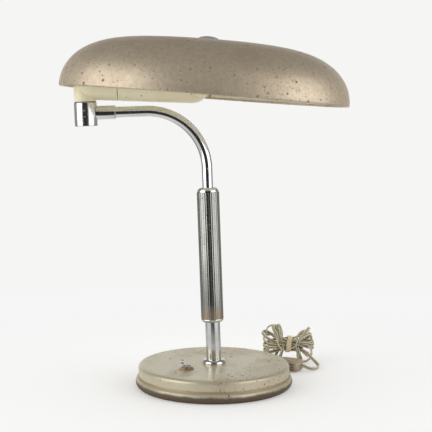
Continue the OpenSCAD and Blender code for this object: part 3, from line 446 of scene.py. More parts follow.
def shade_inside_look():
    f = Finish("inside_white", (0.80, 0.77, 0.66), 0.45)
    f.mottle((0.70, 0.65, 0.52), 0.45, 9.0, 0.4)
    f.rust(0.16, 170.0, 8.0)
    return f.grained(0.15)


def base_look():
    """Silver lacquer with a stained crease over the bead, turning dark brown towards the bottom of the bead.
    """
    f = Finish("silver_lacquer", (0.64, 0.585, 0.425), 0.30, 0.47)
    f.cloud((0.56, 0.52, 0.395), 300.0, 0.5)
    f.mottle((0.53, 0.45, 0.32), 0.5, 16.0, 0.5, rough=0.45)
    f.mottle((0.42, 0.32, 0.21), 0.26, 33.0, 0.5, rough=0.55, metal=0.3)
    f.rust(0.5, 430.0, 18.0, (0.17, 0.11, 0.065), (0.32, 0.24, 0.16), 0.5, 0.8)
    f.rust(0.14, 240.0, 12.0, halo_strength=0.4)
    crease = calc(f.tree, "SUBTRACT", f.above(0.0108, 0.0122, 0.0012, 60.0),
                  f.above(0.0136, 0.0152, 0.0016, 60.0))
    f.layer(calc(f.tree, "MAXIMUM", crease, 0.0), (0.32, 0.215, 0.115), 0.5, 0.3, 0.75)
    # dark brown low on the bead, darker towards the floor
    f.layer(f.below(0.0066, 0.0104, 0.0040, 60.0), (0.094, 0.056, 0.028), 0.6, 0.15, 0.93)
    return f.grained(0.22, 0.00012, 380.0, 0.6)


def cream_look():
    f = Finish("cream_enamel", (0.79, 0.72, 0.50), 0.32)
    f.mottle((0.66, 0.57, 0.36), 0.5, 22.0, 0.45)
    f.cloud((0.74, 0.68, 0.49), 200.0, 0.4)
    f.rust(0.16, 330.0, 16.0, halo_strength=0.3)
    return f.grained(0.12)


def chrome_look(name, tarnish, rough, colour):
    f = Finish(name, colour, rough, 1.0)
    f.mottle((0.55, 0.53, 0.49), 0.42, 40.0, tarnish * 2, rough=max(0.28, rough))
    f.rust(tarnish, 520.0, 26.0, (0.12, 0.09, 0.07), (0.4, 0.36, 0.3), 0.3)
    return f.grained(0.05, 0.0001, 300.0, 0.2)


def fluted_look():
    """Chrome whose foot has gone brown."""
    f = Finish("fluted_chrome", (0.37, 0.375, 0.36), 0.17, 1.0)
    f.mottle((0.30, 0.295, 0.265), 0.55, 26.0, 0.5, rough=0.24)
    f.layer(f.below(0.086, 0.102, 0.012, 150.0), (0.36, 0.27, 0.175), 0.36, 0.8, 0.75)
    f.rust(0.2, 520.0, 26.0, (0.12, 0.09, 0.07), (0.4, 0.36, 0.3), 0.3)
    return f.grained(0.06)


def flex_look():
    f = Finish("flex_skin", (0.66, 0.605, 0.45), 0.42)
    f.mottle((0.42, 0.365, 0.255), 0.5, 60.0, 0.6)
    f.cloud((0.66, 0.61, 0.46), 420.0, 0.35)
    return f.grained(0.3, 0.0001, 900.0)


def plug_look():
    f = Finish("plug_moulding", (0.46, 0.37, 0.255), 0.38)
    f.mottle((0.52, 0.45, 0.33), 0.55, 60.0, 0.7, rough=0.5)
    f.cloud((0.13, 0.09, 0.05), 260.0, 0.4)
    return f.grained(0.35, 0.0002, 700.0)


def simple_look(name, colour, second, rough, metal=0.0, scale=40.0, bump=0.2):
    f = Finish(name, colour, rough, metal)
    f.mottle(second, 0.5, scale, 0.6, rough=min(1.0, rough + 0.12))
    return f.grained(bump, 0.00015, scale * 9)


WORN_CHROME = chrome_look("worn_chrome", 0.35, 0.36, (0.60, 0.58, 0.55))
CAP_CHROME = chrome_look("cap_chrome", 0.2, 0.55, (0.86, 0.85, 0.83))
DULL_CHROME = chrome_look("dull_chrome", 0.3, 0.16, (0.77, 0.775, 0.76))
SHADE_IN = shade_inside_look()
# dark brown painted shade for the groove between the flex's two cores
FLEX_GROOVE_SHADE = simple_look("flex_groove", (0.20, 0.17, 0.115), (0.11, 0.09, 0.06), 0.6)
# dark brown painted shade for the strip behind and between the plug's ribs
PLUG_RIB_SHADE = simple_look("plug_gap", (0.15, 0.11, 0.07), (0.22, 0.165, 0.11), 0.6)
WORN_STEEL = simple_look("worn_steel", (0.50, 0.42, 0.28), (0.30, 0.20, 0.10), 0.4, 0.8, 90.0)
SLOT_LOOKS = {
    "base_lacquer": base_look(), "shade_lacquer": shade_outside_look(), "cream_plastic": cream_look(),
    "chrome": chrome_look("chrome", 0.16, 0.07, (0.86, 0.865, 0.86)), "fluted_chrome": fluted_look(),
    "flex": flex_look(), "plug_brown": plug_look(),
    "steel": simple_look("bare_steel", (0.50, 0.49, 0.47), (0.34, 0.30, 0.26), 0.35, 1.0),
    "brass": simple_look("dull_brass", (0.62, 0.46, 0.20), (0.36, 0.26, 0.12), 0.32, 1.0),
    "cast_iron": simple_look("cast_iron", (0.09, 0.09, 0.095), (0.15, 0.10, 0.07), 0.7, 0.5, 60.0, 0.6),
    "felt": simple_look("green_felt", (0.055, 0.085, 0.055), (0.10, 0.10, 0.07), 0.95, 0.0, 500.0, 0.8),
    "rubber": simple_look("black_rubber", (0.030, 0.028, 0.027), (0.07, 0.065, 0.06), 0.55, 0.0, 90.0),
    "dark_plastic": simple_look("dark_bakelite", (0.045, 0.03, 0.022), (0.09, 0.06, 0.04), 0.3, 0.0, 50.0),
    "porcelain": simple_look("white_porcelain", (0.80, 0.79, 0.74), (0.70, 0.67, 0.58), 0.2, 0.0, 30.0),
    "friction_leather": simple_look("brake_leather", (0.14, 0.085, 0.045), (0.08, 0.05, 0.03), 0.7,
                                    scale=90.0),
    "tie_tape": simple_look("tie_tape", (0.88, 0.73, 0.50), (0.70, 0.55, 0.35), 0.6, 0.0, 120.0),
    "frosted_glass": simple_look("opal_glass", (0.86, 0.85, 0.80), (0.80, 0.78, 0.72), 0.25, 0.0, 30.0, 0.05)}


# ------------------------------------------------------------------ flex, hank, tie and plug
def loop_points(start, end, side, angle, reach, radius, roll, forward):
    """A teardrop loop out of the tie and back, from one slot to another, on the side -1 or +1."""
    mouth = HANK_MID + (side * MOUTH_X, 0, 0)
    out = np.array((math.cos(math.radians(angle)), 0.0, math.sin(math.radians(angle))))
    out[1] = -math.tan(math.radians(forward))
    out /= np.linalg.norm(out)
    flat = np.cross(out, (0, 1.0, 0))
    flat /= np.linalg.norm(flat)
    deep = np.cross(out, flat)
    width = flat * math.cos(math.radians(roll)) + deep * math.sin(math.radians(roll))
    if np.dot(start - end, width) < 0:
        width = -width
    centre = mouth + out * (reach - radius)
    points = [start, start + (side * 4.0, 0, 0)]
    lean = math.asin(min(0.95, radius / (reach - radius)))
    for i in range(11):
        a = math.pi / 2 + lean - (math.pi + 2 * lean) * i / 10
        points.append(centre + out * radius * math.cos(a) + width * radius * math.sin(a))
    return points + [end + (side * 4.0, 0, 0), end]


def even_steps(points, step):
    """The same line through the points, on a smooth curve, with even steps."""
    p = np.asarray(points, float)
    p = np.vstack([2 * p[0] - p[1], p, 2 * p[-1] - p[-2]])
    fine = []
    for i in range(1, len(p) - 2):
        a, b, c, d = p[i - 1:i + 3]
        for t in np.linspace(0, 1, 12, endpoint=False):
            fine.append(0.5 * (2 * b + (c - a) * t + (2 * a - 5 * b + 4 * c - d) * t ** 2
                               + (3 * b - a - 3 * c + d) * t ** 3))
    fine.append(p[-2])
    fine = np.array(fine)
    along = np.concatenate([[0], np.cumsum(np.linalg.norm(np.diff(fine, axis=0), axis=1))])
    count = int(round(along[-1] / step)) + 1
    at = np.linspace(0, along[-1], count)
    return np.stack([np.interp(at, along, fine[:, k]) for k in range(3)], axis=1)


LEFT_LOOPS = [
    # angle, reach, radius, roll, forward
    (152, 34, 10.4, 78, 4), (138, 31, 10.2, 14, -6), (124, 30, 10.2, 80, 12), (110, 27, 10.0, 86, -8),
    (164, 30, 10.2, 60, -20), (180, 29, 10.2, 80, 14), (218, 27, 10.2, 20, 14), (200, 30, 10.4, 75, -16),
    (240, 23, 9.8, 82, 18)]
RIGHT_LOOPS = [
    (44, 32, 9.8, 80, 2), (24, 28, 10.2, 14, -8), (10, 28, 10.2, 84, 12), (0, 29, 10.2, 88, -12),
    (-10, 29, 10.2, 80, 2), (32, 28, 10.2, 66, 16), (-38, 27, 10.2, 84, -10), (-58, 23, 9.8, 80, 16),
    (-33, 32, 11.2, 4, 33)]


def hank_points():
    """Through the tie and round a loop, 19 times, in a seeded but untidy order."""
    chance = random.Random(41)
    slots = [(y, z) for y, count in ((-6.6, 5), (-2.2, 5), (2.2, 5), (6.6, 4))
             for z in np.linspace(-6.4, 6.4, count)]
    chance.shuffle(slots)
    slots.sort(key=lambda s: s[0] + chance.uniform(-7, 7))
    first = min(slots, key=lambda s: abs(s[0] + 2) + abs(s[1] + 3))
    last = min(slots, key=lambda s: abs(s[0] + 6.6) + abs(s[1] + 6.4))
    for kept in (first, last):
        slots.remove(kept)
    slots = [first] + slots + [last]
    lefts, rights = list(LEFT_LOOPS), list(RIGHT_LOOPS)
    drooping = rights.pop()
    chance.shuffle(lefts)
    chance.shuffle(rights)
    rights.append(drooping)

    def at(i, side):
        return HANK_MID + (side * MOUTH_X, *slots[i])

    points = [at(0, -1)]
    turns = len(LEFT_LOOPS) + len(RIGHT_LOOPS)
    for i in range(turns):
        side = 1 if i % 2 == 0 else -1
        angle, reach, radius, roll, forward = (rights if side > 0 else lefts)[i // 2]
        points += loop_points(at(i, side), at(i + 1, side), side, angle, reach, radius, roll, forward)
    points.append(at(turns, 1))
    return points


FLEX_STEP = 2.5                                        # between rings
ROUNDS, TIGHTEST, APART, LOWEST = 260, 13.5, 2.75, 2.3
HELD_AT_START, HELD_AT_END = 95, 92


def settled(path, loose, step):
    """Stiff cord laid in a heap: it keeps its length, springs out of tight bends, and rests on itself."""
    p = path.copy()
    n = len(p)
    i, j = np.triu_indices(n, 4)
    reach = 2
    most = (reach * step) ** 2 / (2 * TIGHTEST)
    for turn in range(ROUNDS):
        bend = np.zeros_like(p)
        bend[2:-2] = (p[:-4] - 4 * p[1:-3] + 6 * p[2:-2] - 4 * p[3:-1] + p[4:])
        p[loose] -= 0.07 * bend[loose]
        for part in range(2 * reach + 1):
            mid = np.arange(reach + part, n - reach, 2 * reach + 1)
            off = (p[mid - reach] + p[mid + reach]) / 2 - p[mid]
            far = np.linalg.norm(off, axis=1) + 1e-9
            fix = off / far[:, None] * (np.maximum(far - most, 0) * 0.45)[:, None]
            for at, share in ((mid, 1.0), (mid - reach, -0.5), (mid + reach, -0.5)):
                p[at[loose[at]]] += share * fix[loose[at]]
        if turn % 2 == 0:
            near = np.sum((p[i] - p[j]) ** 2, axis=1) < APART ** 2
            a, b = i[near], j[near]
            gap = p[a] - p[b]
            far = np.linalg.norm(gap, axis=1) + 1e-9
            push = gap / far[:, None] * ((APART - far) * 0.25)[:, None]
            move = np.zeros_like(p)
            np.add.at(move, a, push)
            np.add.at(move, b, -push)
            p[loose] += np.clip(move[loose], -0.8, 0.8)
        for odd in (0, 1):
            a = np.arange(odd, n - 1, 2)
            gap = p[a + 1] - p[a]
            far = np.linalg.norm(gap, axis=1)
            fix = gap / far[:, None] * ((far - step) * 0.3)[:, None]
            fix = np.clip(fix, -0.3, 0.3)
            p[a[loose[a]]] += fix[loose[a]]
            p[(a + 1)[loose[a + 1]]] -= fix[loose[a + 1]]
        p[loose, 2] = np.maximum(p[loose, 2], LOWEST)
    return p


def flex_path():
    """The flex's whole line: its ends and the part in the tie stay put while the rest settles."""
    path = even_steps(RUN_ROUTE[1:] + [(78, 114.5, 21.5)] + hank_points() + [(116, 111.5, 16.5)] + TAIL_ROUTE,
                      FLEX_STEP)
    loose = np.ones(len(path), bool)
    through = (np.abs(path[:, 0] - HANK_MID[0]) < 3.6) & (np.abs(path[:, 1] - HANK_MID[1]) < 9) \
        & (np.abs(path[:, 2] - HANK_MID[2]) < 9)
    loose[through] = False
    along = np.arange(len(path)) * FLEX_STEP
    loose[along < HELD_AT_START] = False
    loose[along > along[-1] - HELD_AT_END] = False
    return settled(path, loose, FLEX_STEP)


def width_sides(path):
    """The flat flex lies over its narrow way in every bend: its width stands across the bend."""
    t = tangents(path)
    across = np.cross(np.roll(t, 1, axis=0), np.roll(t, -1, axis=0))
    across[0], across[-1] = across[1], across[-2]
    for k in range(1, len(across)):
        if np.dot(across[k], across[k - 1]) < 0:
            across[k] = -across[k]
    reach = 9
    kernel = np.exp(-np.linspace(-2, 2, 2 * reach + 1) ** 2)
    padded = [np.pad(column, reach, mode="edge") for column in across.T]
    soft = np.stack([np.convolve(column, kernel, "valid") for column in padded], 1)
    soft -= t * np.sum(soft * t, axis=1)[:, None]
    return soft / (np.linalg.norm(soft, axis=1)[:, None] + 1e-12)


def twin_section():
    """Two round cores side by side, with a groove between them."""
    half, r = FLEX_W / 4, FLEX_T / 2
    right = [(half + r * math.cos(math.radians(a)), r * math.sin(math.radians(a)))
             for a in (-125, -85, -42, 0, 42, 85, 125)]
    left = [(-x, -y) for x, y in right]
    return right + [(0, 0.5)] + left + [(0, -0.5)]


def make_flex():
    path = flex_path()
    section = twin_section()
    mesh = tube_mesh("flex", path, width_sides(path), section)
    # faces in the groove between the cores take the painted shade look
    for face in mesh.polygons:
        if face.loop_total == 4 and face.index % len(section) in (6, 7, 14, 15):
            face.material_index = 1
    flex = dress("flex", mesh, "cord_run", "cord_hank", "cord_tail", looks=[SLOT_LOOKS["flex"], FLEX_GROOVE_SHADE],
                 angle=70)
    return flex, path, float(np.sum(np.linalg.norm(np.diff(path, axis=0), axis=1)))


def make_tie():
    """A tape round the hank, its top pulled towards the right."""
    half, rounding = TIE_HALF + 0.1, 4.0
    loop = []
    for cy, cz, a in ((1, 1, 0), (-1, 1, 90), (-1, -1, 180), (1, -1, 270)):
        for k in range(7):
            b = math.radians(a + 15 * k)
            loop.append((cy * (half - rounding) + rounding * math.cos(b),
                         cz * (half - rounding) + rounding * math.sin(b)))
    points = []
    for y, z in loop:
        out = Vector((0, y, z)).normalized()
        lean = 0.16 * z + 0.4 * math.sin(z * 0.9)
        pinch = 1.0 + 0.10 * math.sin(y * 0.8 + z * 0.5)
        for x, lift in ((-TIE_W / 2 * pinch, 0), (-TIE_W / 2 * pinch, TIE_T * 0.6), (-TIE_W / 5, TIE_T),
                        (TIE_W / 5, TIE_T * 0.8), (TIE_W / 2 * pinch, TIE_T * 0.6), (TIE_W / 2 * pinch, 0)):
            points.append(HANK_MID + (x + lean, y + out.y * lift, z + out.z * lift))
    faces = [[v % len(points) for v in face] for face in ring_faces(len(loop) + 1, 6, False)]
    mesh = new_mesh("hank_tie", points, faces)
    return dress("hank_tie", mesh, "cord_tie", angle=50)


def make_rib_tree():
    """Bars side by side on a line: count, pitch, radius and length are inputs."""
    tree, given, result = new_tree(
        "grip_ribs", "GeometryNodeTree",
        {"Count": 5, "Pitch": 0.003, "Radius": 0.0007, "Length": 0.016, "Look": "Material"},
        {"Geometry": "Geometry"})
    step = put(tree, "ShaderNodeCombineXYZ", Z=given["Pitch"])[0]
    line = put(tree, "GeometryNodeMeshLine", Count=given["Count"], Offset=step)["Mesh"]
    bar = put(tree, "GeometryNodeMeshCylinder", Vertices=10, Radius=given["Radius"],
              Depth=given["Length"])["Mesh"]
    bars = put(tree, "GeometryNodeInstanceOnPoints", Points=line, Instance=bar,
               Rotation=(0, math.pi / 2, 0))[0]
    real = put(tree, "GeometryNodeRealizeInstances", Geometry=bars)[0]
    feed(tree, result[0], put(tree, "GeometryNodeSetMaterial", Geometry=real, Material=given["Look"])[0])
    return tree


def make_flute_tree():
    """A round wall with shallow upright flutes: count, radius, depth and length are inputs."""
    tree, given, result = new_tree(
        "sleeve_flutes", "GeometryNodeTree",
        {"Count": 36, "Radius": 0.0135, "Depth": 0.0002, "Length": 0.15, "Look": "Material"},
        {"Geometry": "Geometry"})
    steps, flat = 8.0, 0.25                            # points to a flute, and the share of it that is land
    index = put(tree, "GeometryNodeInputIndex")[0]
    phase = calc(tree, "DIVIDE", calc(tree, "MODULO", index, steps), steps)
    turn = calc(tree, "MULTIPLY", calc(tree, "SUBTRACT", phase, (1 + flat) / 2), math.pi / (1 - flat))
    hollow = calc(tree, "MULTIPLY", calc(tree, "MAXIMUM", calc(tree, "COSINE", turn), 0.0),
                  calc(tree, "DIVIDE", given["Depth"], given["Radius"]))
    outline = put(tree, "GeometryNodeMeshCircle", Vertices=calc(tree, "MULTIPLY", given["Count"], steps),
                  Radius=given["Radius"])["Mesh"]
    inward = put(tree, "ShaderNodeVectorMath", put(tree, "GeometryNodeInputPosition")[0],
                 how=("operation", "SCALE"), Scale=calc(tree, "MULTIPLY", hollow, -1.0))[0]
    sunk = put(tree, "GeometryNodeSetPosition", Geometry=outline, Offset=inward)[0]
    rise = put(tree, "ShaderNodeCombineXYZ", Z=given["Length"])[0]
    wall = put(tree, "GeometryNodeExtrudeMesh", how=("mode", "EDGES"), Mesh=sunk, Offset=rise)["Mesh"]
    real = put(tree, "GeometryNodeRealizeInstances", Geometry=wall)[0]
    feed(tree, result[0], put(tree, "GeometryNodeSetMaterial", Geometry=real, Material=given["Look"])[0])
    return tree


def grown_mesh(tree, where, **values):
    """Runs a Geometry Nodes tree once and keeps its result as a plain mesh, put in its place."""
    carrier = new_object("carrier", bpy.data.meshes.new("carrier"))
    modifier = carrier.modifiers.new("grow", "NODES")
    modifier.node_group = tree
    for item in tree.interface.items_tree:
        if item.item_type == "SOCKET" and item.in_out == "INPUT" and item.name.replace(" ", "_") in values:
            modifier[item.identifier] = values[item.name.replace(" ", "_")]
    bpy.context.view_layer.update()
    graph = bpy.context.evaluated_depsgraph_get()
    mesh = bpy.data.meshes.new_from_object(carrier.evaluated_get(graph))
    carrier.modifiers.clear()
    bpy.data.objects.remove(carrier)
    where = where.copy()
    where.translation *= MM
    mesh.transform(where)
    mesh.materials.clear()
    return mesh


def make_plug():
    """A squared oval body with a strip of painted shade on each side, crossed by the grip's ribs."""
    sides, strip = 40, 5
    outline = [(0.0, 5.6, 4.0), (0.4, 7.6, 5.2), (1.2, 9.8, 6.3), (2.3, 11.5, 7.0), (3.6, 12.4, 7.4),
               (5.0, 12.8, 7.5), (20.0, 12.8, 7.5), (26.0, 12.7, 7.4), (28.8, 12.2, 7.0), (29.7, 11.4, 6.4),
               (30.0, 10.4, 5.6)]
    points = [(x, y, z) for x, w, h in outline for y, z in squared_oval(w, h, PLUG_SQUARE, sides)]
    body = new_mesh("plug_skin", points, ring_faces(len(outline), sides), PLUG)
    # faces of the row under the ribs, near each side, take the painted shade look
    for face in body.polygons:
        if face.index // sides == strip and min((face.index + 1) % 20, 19 - face.index % 20) < 4:
            face.material_index = 1
    skin = SLOT_LOOKS["plug_brown"]
    ribs = make_rib_tree()
    grips = [grown_mesh(ribs, PLUG @ shifted(12.7, side * 12.9, -4.65), Count=4, Pitch=0.0031, Radius=0.0011,
                        Length=0.0150, Look=skin) for side in (-1, 1)]
    return dress("plug_skin", joined("plug_skin", [body, *grips]), "plug_body", looks=[skin, PLUG_RIB_SHADE],
                 angle=40)


plug = make_plug()
tie = make_tie()
flex, flex_line, flex_length = make_flex()


# ------------------------------------------------------------------ base
def make_base_cover():
    outer = [(0, BASE_H), (30, BASE_H), (60, BASE_H), (80, BASE_H)]
    outer += arc(BASE_WALL_R - BASE_ROUND, BASE_H - BASE_ROUND, BASE_ROUND, 90, 0, 8)
    outer += [(BASE_WALL_R, 18), (BASE_WALL_R, 14.2), (BASE_WALL_R + 0.1, 13.2), (BASE_WALL_R + 0.5, 12.4)]
    outer += arc(BASE_R - BEAD_R, BEAD_Z, BEAD_R, 52, -55.9, 12)
    inner = [(BASE_R - BEAD_R, LIP_Z), (BASE_R - BEAD_R, LIP_Z + BASE_SHEET)]
    inner += arc(BASE_R - BEAD_R, BEAD_Z, BEAD_R - BASE_SHEET, -50, 45, 8)
    inner += [(BASE_WALL_R - BASE_SHEET, 13), (BASE_WALL_R - BASE_SHEET, BASE_H - BASE_ROUND)]
    inner += arc(BASE_WALL_R - BASE_ROUND, BASE_H - BASE_ROUND, BASE_ROUND - BASE_SHEET, 0, 90, 4)
    inner += [(0, BASE_H - BASE_SHEET)]
    spun("base_cover", outer + inner, UPRIGHT, "base_shell", around=160, closed=False, angle=40)


def make_stem():
    foot = [(STUD_BORE_R, -STUD_LEN), (STUD_R, -STUD_LEN), (STUD_R, -0.02),
            (FLANGE_R - 0.3, -0.02), (FLANGE_R, 0.3), (FLANGE_R, 1.0)]
    foot += arc(FLANGE_R - 4, 1.0, 4.0, 8, 62, 5)
    foot += [(STEM_R + 1.2, 4.75), (STEM_R - 1, FLANGE_H), (STUD_BORE_R, FLANGE_H)]
    spun("stem_flange", foot, shifted(0, 0, BASE_H), "stem_foot", looks=[DULL_CHROME], around=64)
    tube = filleted([(STEM_BORE_R, 4.6, 0), (STEM_R, 4.6, 0), (STEM_R, STEM_TOP, 0.5),
                     (STEM_BORE_R, STEM_TOP, 0)])
    spun("stem", tube, LEANED, "stem_tube", looks=[DULL_CHROME], around=64)


def make_relief():
    rings = [(RELIEF_BORE_R, -10.0), (3.4, -10.0), (3.4, -1.3), (4.0, -1.1), (4.2, 0.2), (4.2, 1.6)]
    for k in range(6):
        at = 2.4 + k * 2.9
        r = RELIEF_THICK - (RELIEF_THICK - RELIEF_THIN) * (at / RELIEF_LEN)
        rings += [(r - 0.45, at), (r - 0.45, at + 0.8), (r, at + 1.1), (r - 0.05, at + 2.4)]
    rings += [(RELIEF_THIN, RELIEF_LEN - 1.4), (2.8, RELIEF_LEN - 0.4), (RELIEF_BORE_R, RELIEF_LEN)]
    where = shifted(0, BASE_WALL_R, OUTLET_Z) @ turned(-90, "X")
    spun("strain_relief", rings, where, "cord_relief", around=40, angle=45)


def make_switch():
    where = SWITCH @ shifted(0, 0, BASE_H)
    bush = [(3.0, -6), (BUSH_R, -6), (BUSH_R, 0)]
    for k in range(4):
        at = 2.3 + k * 0.42
        bush += [(5.55, at), (BUSH_R, at + 0.2)]
    bush += [(5.6, 3.9), (4.9, 3.95), (4.5, 3.8), (3.1, 1.9)]
    spun("toggle_bush", bush, where, "switch_bush", looks=[WORN_CHROME], around=40)
    nut = filleted([(NUT_BORE_R, 0, 0), (8.0, 0, 0), (8.0, 2.2, 0.6), (NUT_BORE_R, 2.2, 0)], 3)
    mesh = spun_mesh("toggle_nut", nut, where @ turned(12, "Z"), 6)
    flat = [(NUT_BORE_R, 0), (8.9, 0), (8.9, 0.5), (8.7, 0.6), (NUT_BORE_R, 0.6)]
    washer = spun_mesh("toggle_washer", flat, where, 40)
    dress("toggle_nut", joined("toggle_nut", [mesh, washer]), "switch_nut", looks=[WORN_STEEL], angle=30)
    lever = [(0, -TOGGLE_ROOT_R)] + arc(0, 0, TOGGLE_ROOT_R, -75, 60, 9)
    lever += [(1.35, 2.7), (1.15, 5.0), (1.05, TOGGLE_LEN - 3.2), (1.15, TOGGLE_LEN - 2.3)]
    lever += arc(0, TOGGLE_LEN, TOGGLE_BALL_R, -55, 89, 12) + [(0, TOGGLE_LEN + TOGGLE_BALL_R)]
    tilt = SWITCH @ shifted(0, 0, PIVOT_Z) @ turned(-TOGGLE_LEAN)
    spun("toggle", lever, tilt, "toggle_lever", looks=[DULL_CHROME], around=32, closed=False, angle=60)


# ------------------------------------------------------------------ sleeve and arm
def make_sleeve():
    grown = grown_mesh(make_flute_tree(), LEANED @ shifted(0, 0, SLEEVE_FROM), Count=FLUTES,
                       Radius=SLEEVE_R * MM, Depth=FLUTE_DEPTH * MM, Length=SLEEVE_LEN * MM,
                       Look=SLOT_LOOKS["fluted_chrome"])
    inside = SLEEVE_R - 0.24
    end = SLEEVE_FROM + SLEEVE_LEN
    wall = [(SLEEVE_BORE_R, SLEEVE_FROM), (inside, SLEEVE_FROM), (inside, end), (SLEEVE_BORE_R, end)]
    core = spun_mesh("sleeve_core", wall, LEANED, 72)
    mesh = joined("fluted_sleeve", [grown, core])
    dress("fluted_sleeve", mesh, "sleeve", angle=40)
    low = SLEEVE_FROM - LOWER_COLLAR_H
    foot = [(STEM_R + 0.35, low + 7), (STEM_R + 0.35, low + 0.2), (STEM_R + 1.2, low)]
    foot += arc(STEM_R + 1.2, low + 3.4, COLLAR_R - STEM_R - 1.2, -78, 0, 6, 3.4)
    foot += [(COLLAR_R, low + 3.6), (SLEEVE_R, SLEEVE_FROM - 0.02), (11.1, SLEEVE_FROM - 0.02),
             (11.1, low + 7)]
    spun("sleeve_foot_ring", foot, LEANED, "lower_collar", around=64)
    top = SLEEVE_FROM + SLEEVE_LEN
    dome = [(ARM_R + 0.05, top), (DOME_R - 0.5, top), (DOME_R, top + 0.4)]
    dome += arc(ARM_R + 0.9, top + 0.7, DOME_R - ARM_R - 0.9, 0, 90, 9, UPPER_COLLAR_H - 0.9)
    dome += [(ARM_R + 0.05, top + UPPER_COLLAR_H - 0.3)]
    spun("sleeve_top_ring", dome, LEANED, "upper_collar", around=64)


def make_arm():
    path = [(0, 0, SLEEVE_FROM + SLEEVE_LEN - 18), (0, 0, SLEEVE_FROM + SLEEVE_LEN)]
    path += [(0, 0, z) for z in np.linspace(SLEEVE_FROM + SLEEVE_LEN + 6, ARM_HEIGHT - ARM_BEND_R - 0.5, 5)]
    path += [(x, 0, z) for x, z in arc(-ARM_BEND_R, ARM_HEIGHT - ARM_BEND_R, ARM_BEND_R, 0, 90, 30)]
    end = ARM_REACH - DRUM_R - FERRULE_LEN + 14
    path += [(-x, 0, ARM_HEIGHT) for x in np.linspace(ARM_BEND_R + 2, end, 8)]
    mesh = tube_mesh("arm", path, np.cross(tangents(path), (0, 1.0, 0)), ring(ARM_R, 40), LEANED)
    dress("arm", mesh, "arm_tube", angle=40)
    start = ARM_REACH - DRUM_R
    lip = [(ARM_BORE_R, -1.2), (FERRULE_R, -1.2), (FERRULE_R, FERRULE_LEN - 1.2),
           (FERRULE_R - 0.12, FERRULE_LEN - 0.6), (FERRULE_R - 0.7, FERRULE_LEN - 0.05),
           (ARM_R + 0.05, FERRULE_LEN), (ARM_R + 0.05, 8), (ARM_BORE_R, 8)]
    where = LEANED @ shifted(-start, 0, ARM_HEIGHT) @ ALONG_X
    spun("arm_socket", lip, where, "arm_ferrule", around=56)
    low, high = ARM_HEIGHT - DRUM_DOWN, ARM_HEIGHT + DRUM_UP
    wall = filleted([(DRUM_BORE_R, low, 0), (DRUM_R, low, 0.9), (DRUM_R, high, 0.7), (SEAT_R, high, 0)])
    wall += [(SEAT_R, high - 5), (DRUM_BORE_R, high - 5)]
    spun("swivel_barrel", wall, SWIVEL, "swivel_drum", looks=[DULL_CHROME], around=72)


# ------------------------------------------------------------------ housing
def make_housing():
    body = [(0, ROUND_X - HOUSING_R)]
    body += arc(0, ROUND_X, HOUSING_R, -84, 0, 12)
    back = SEAM_X - 0.15
    body += filleted([(HOUSING_R, ROUND_X + 2, 0), (HOUSING_R, back, 0.8), (SEAT_R, back, 0)], 4)
    inner = HOUSING_R - HOUSING_WALL
    body += [(SEAT_R, SEAM_X - 3), (inner, SEAM_X - 3), (inner, ROUND_X)]
    body += arc(0, ROUND_X, inner, -10, -80, 7) + [(0, ROUND_X - inner)]
    shell = spun_mesh("rear_shell", body, LAMP @ ALONG_X, 72, False)
    low = ARM_HEIGHT + DRUM_UP + 0.9
    top = ARM_HEIGHT + HOUSING_RISE - 6
    neck = filleted([(SEAT_R, low, 0), (NECK_R - 0.2, low, 0.7), (NECK_R, low + 14, 0),
                     (NECK_R + 0.15, top, 0)], 4)
    neck += [(NECK_R - HOUSING_WALL, top), (NECK_R - HOUSING_WALL, low + 3), (SEAT_R, low + 3)]
    collar = spun_mesh("neck", neck, SWIVEL, 64)
    dress("rear_housing_skin", joined("rear_housing_skin", [shell, collar]), "rear_housing", "housing_lid",
          angle=38)
    start = SEAM_X + 0.4
    end = NOSE_X + math.sqrt(HOUSING_R ** 2 - NOSE_HOLE_R ** 2)
    cover = filleted([(SEAT_R, start, 0), (HOUSING_R, start, 0.8), (HOUSING_R, start + 6, 0)], 4)
    cover += [(HOUSING_R, NOSE_X - 20)]
    cover += arc(0, NOSE_X, HOUSING_R, 0, 50.5, 9)
    cover += [(NOSE_HOLE_R + 0.3, end - 0.2), (NOSE_HOLE_R - 0.3, end - 0.9)]
    cover += arc(0, NOSE_X, inner, 44, 0, 7)
    cover += [(inner, start + 3), (SEAT_R, start + 3)]
    tube = spun_mesh("front_shell", cover, LAMP @ ALONG_X, 72)
    pad = bpy.data.meshes.new("pad")
    bm = bmesh.new()
    bmesh.ops.create_cube(bm, size=1.0)
    bmesh.ops.scale(bm, vec=(26, 22, 6), verts=bm.verts)
    bmesh.ops.translate(bm, vec=(105, 0, HOUSING_R - 2), verts=bm.verts)
    bmesh.ops.bevel(bm, geom=list(bm.edges), offset=0.8, segments=2, affect="EDGES")
    for v in bm.verts:
        v.co = (LAMP @ v.co) * MM
    bm.to_mesh(pad)
    bm.free()
    dress("front_housing_skin", joined("front_housing_skin", [tube, pad]), "front_housing", angle=38)


# ------------------------------------------------------------------ shade
def dome_profile():
    """(share of the plan, height) from crown to foot."""
    rows = []
    for share in (0.06, 0.12, 0.2, 0.28, 0.36, 0.44, 0.52, 0.59, 0.65, 0.70, 0.745, 0.785, 0.82):
        rows.append((share, (1 - share ** DOME_FLAT) ** (1 / DOME_STEEP)))
    for height in np.linspace(rows[-1][1], 0, 15)[1:]:
        rows.append(((1 - height ** DOME_STEEP) ** (1 / DOME_FLAT), height))
    return rows


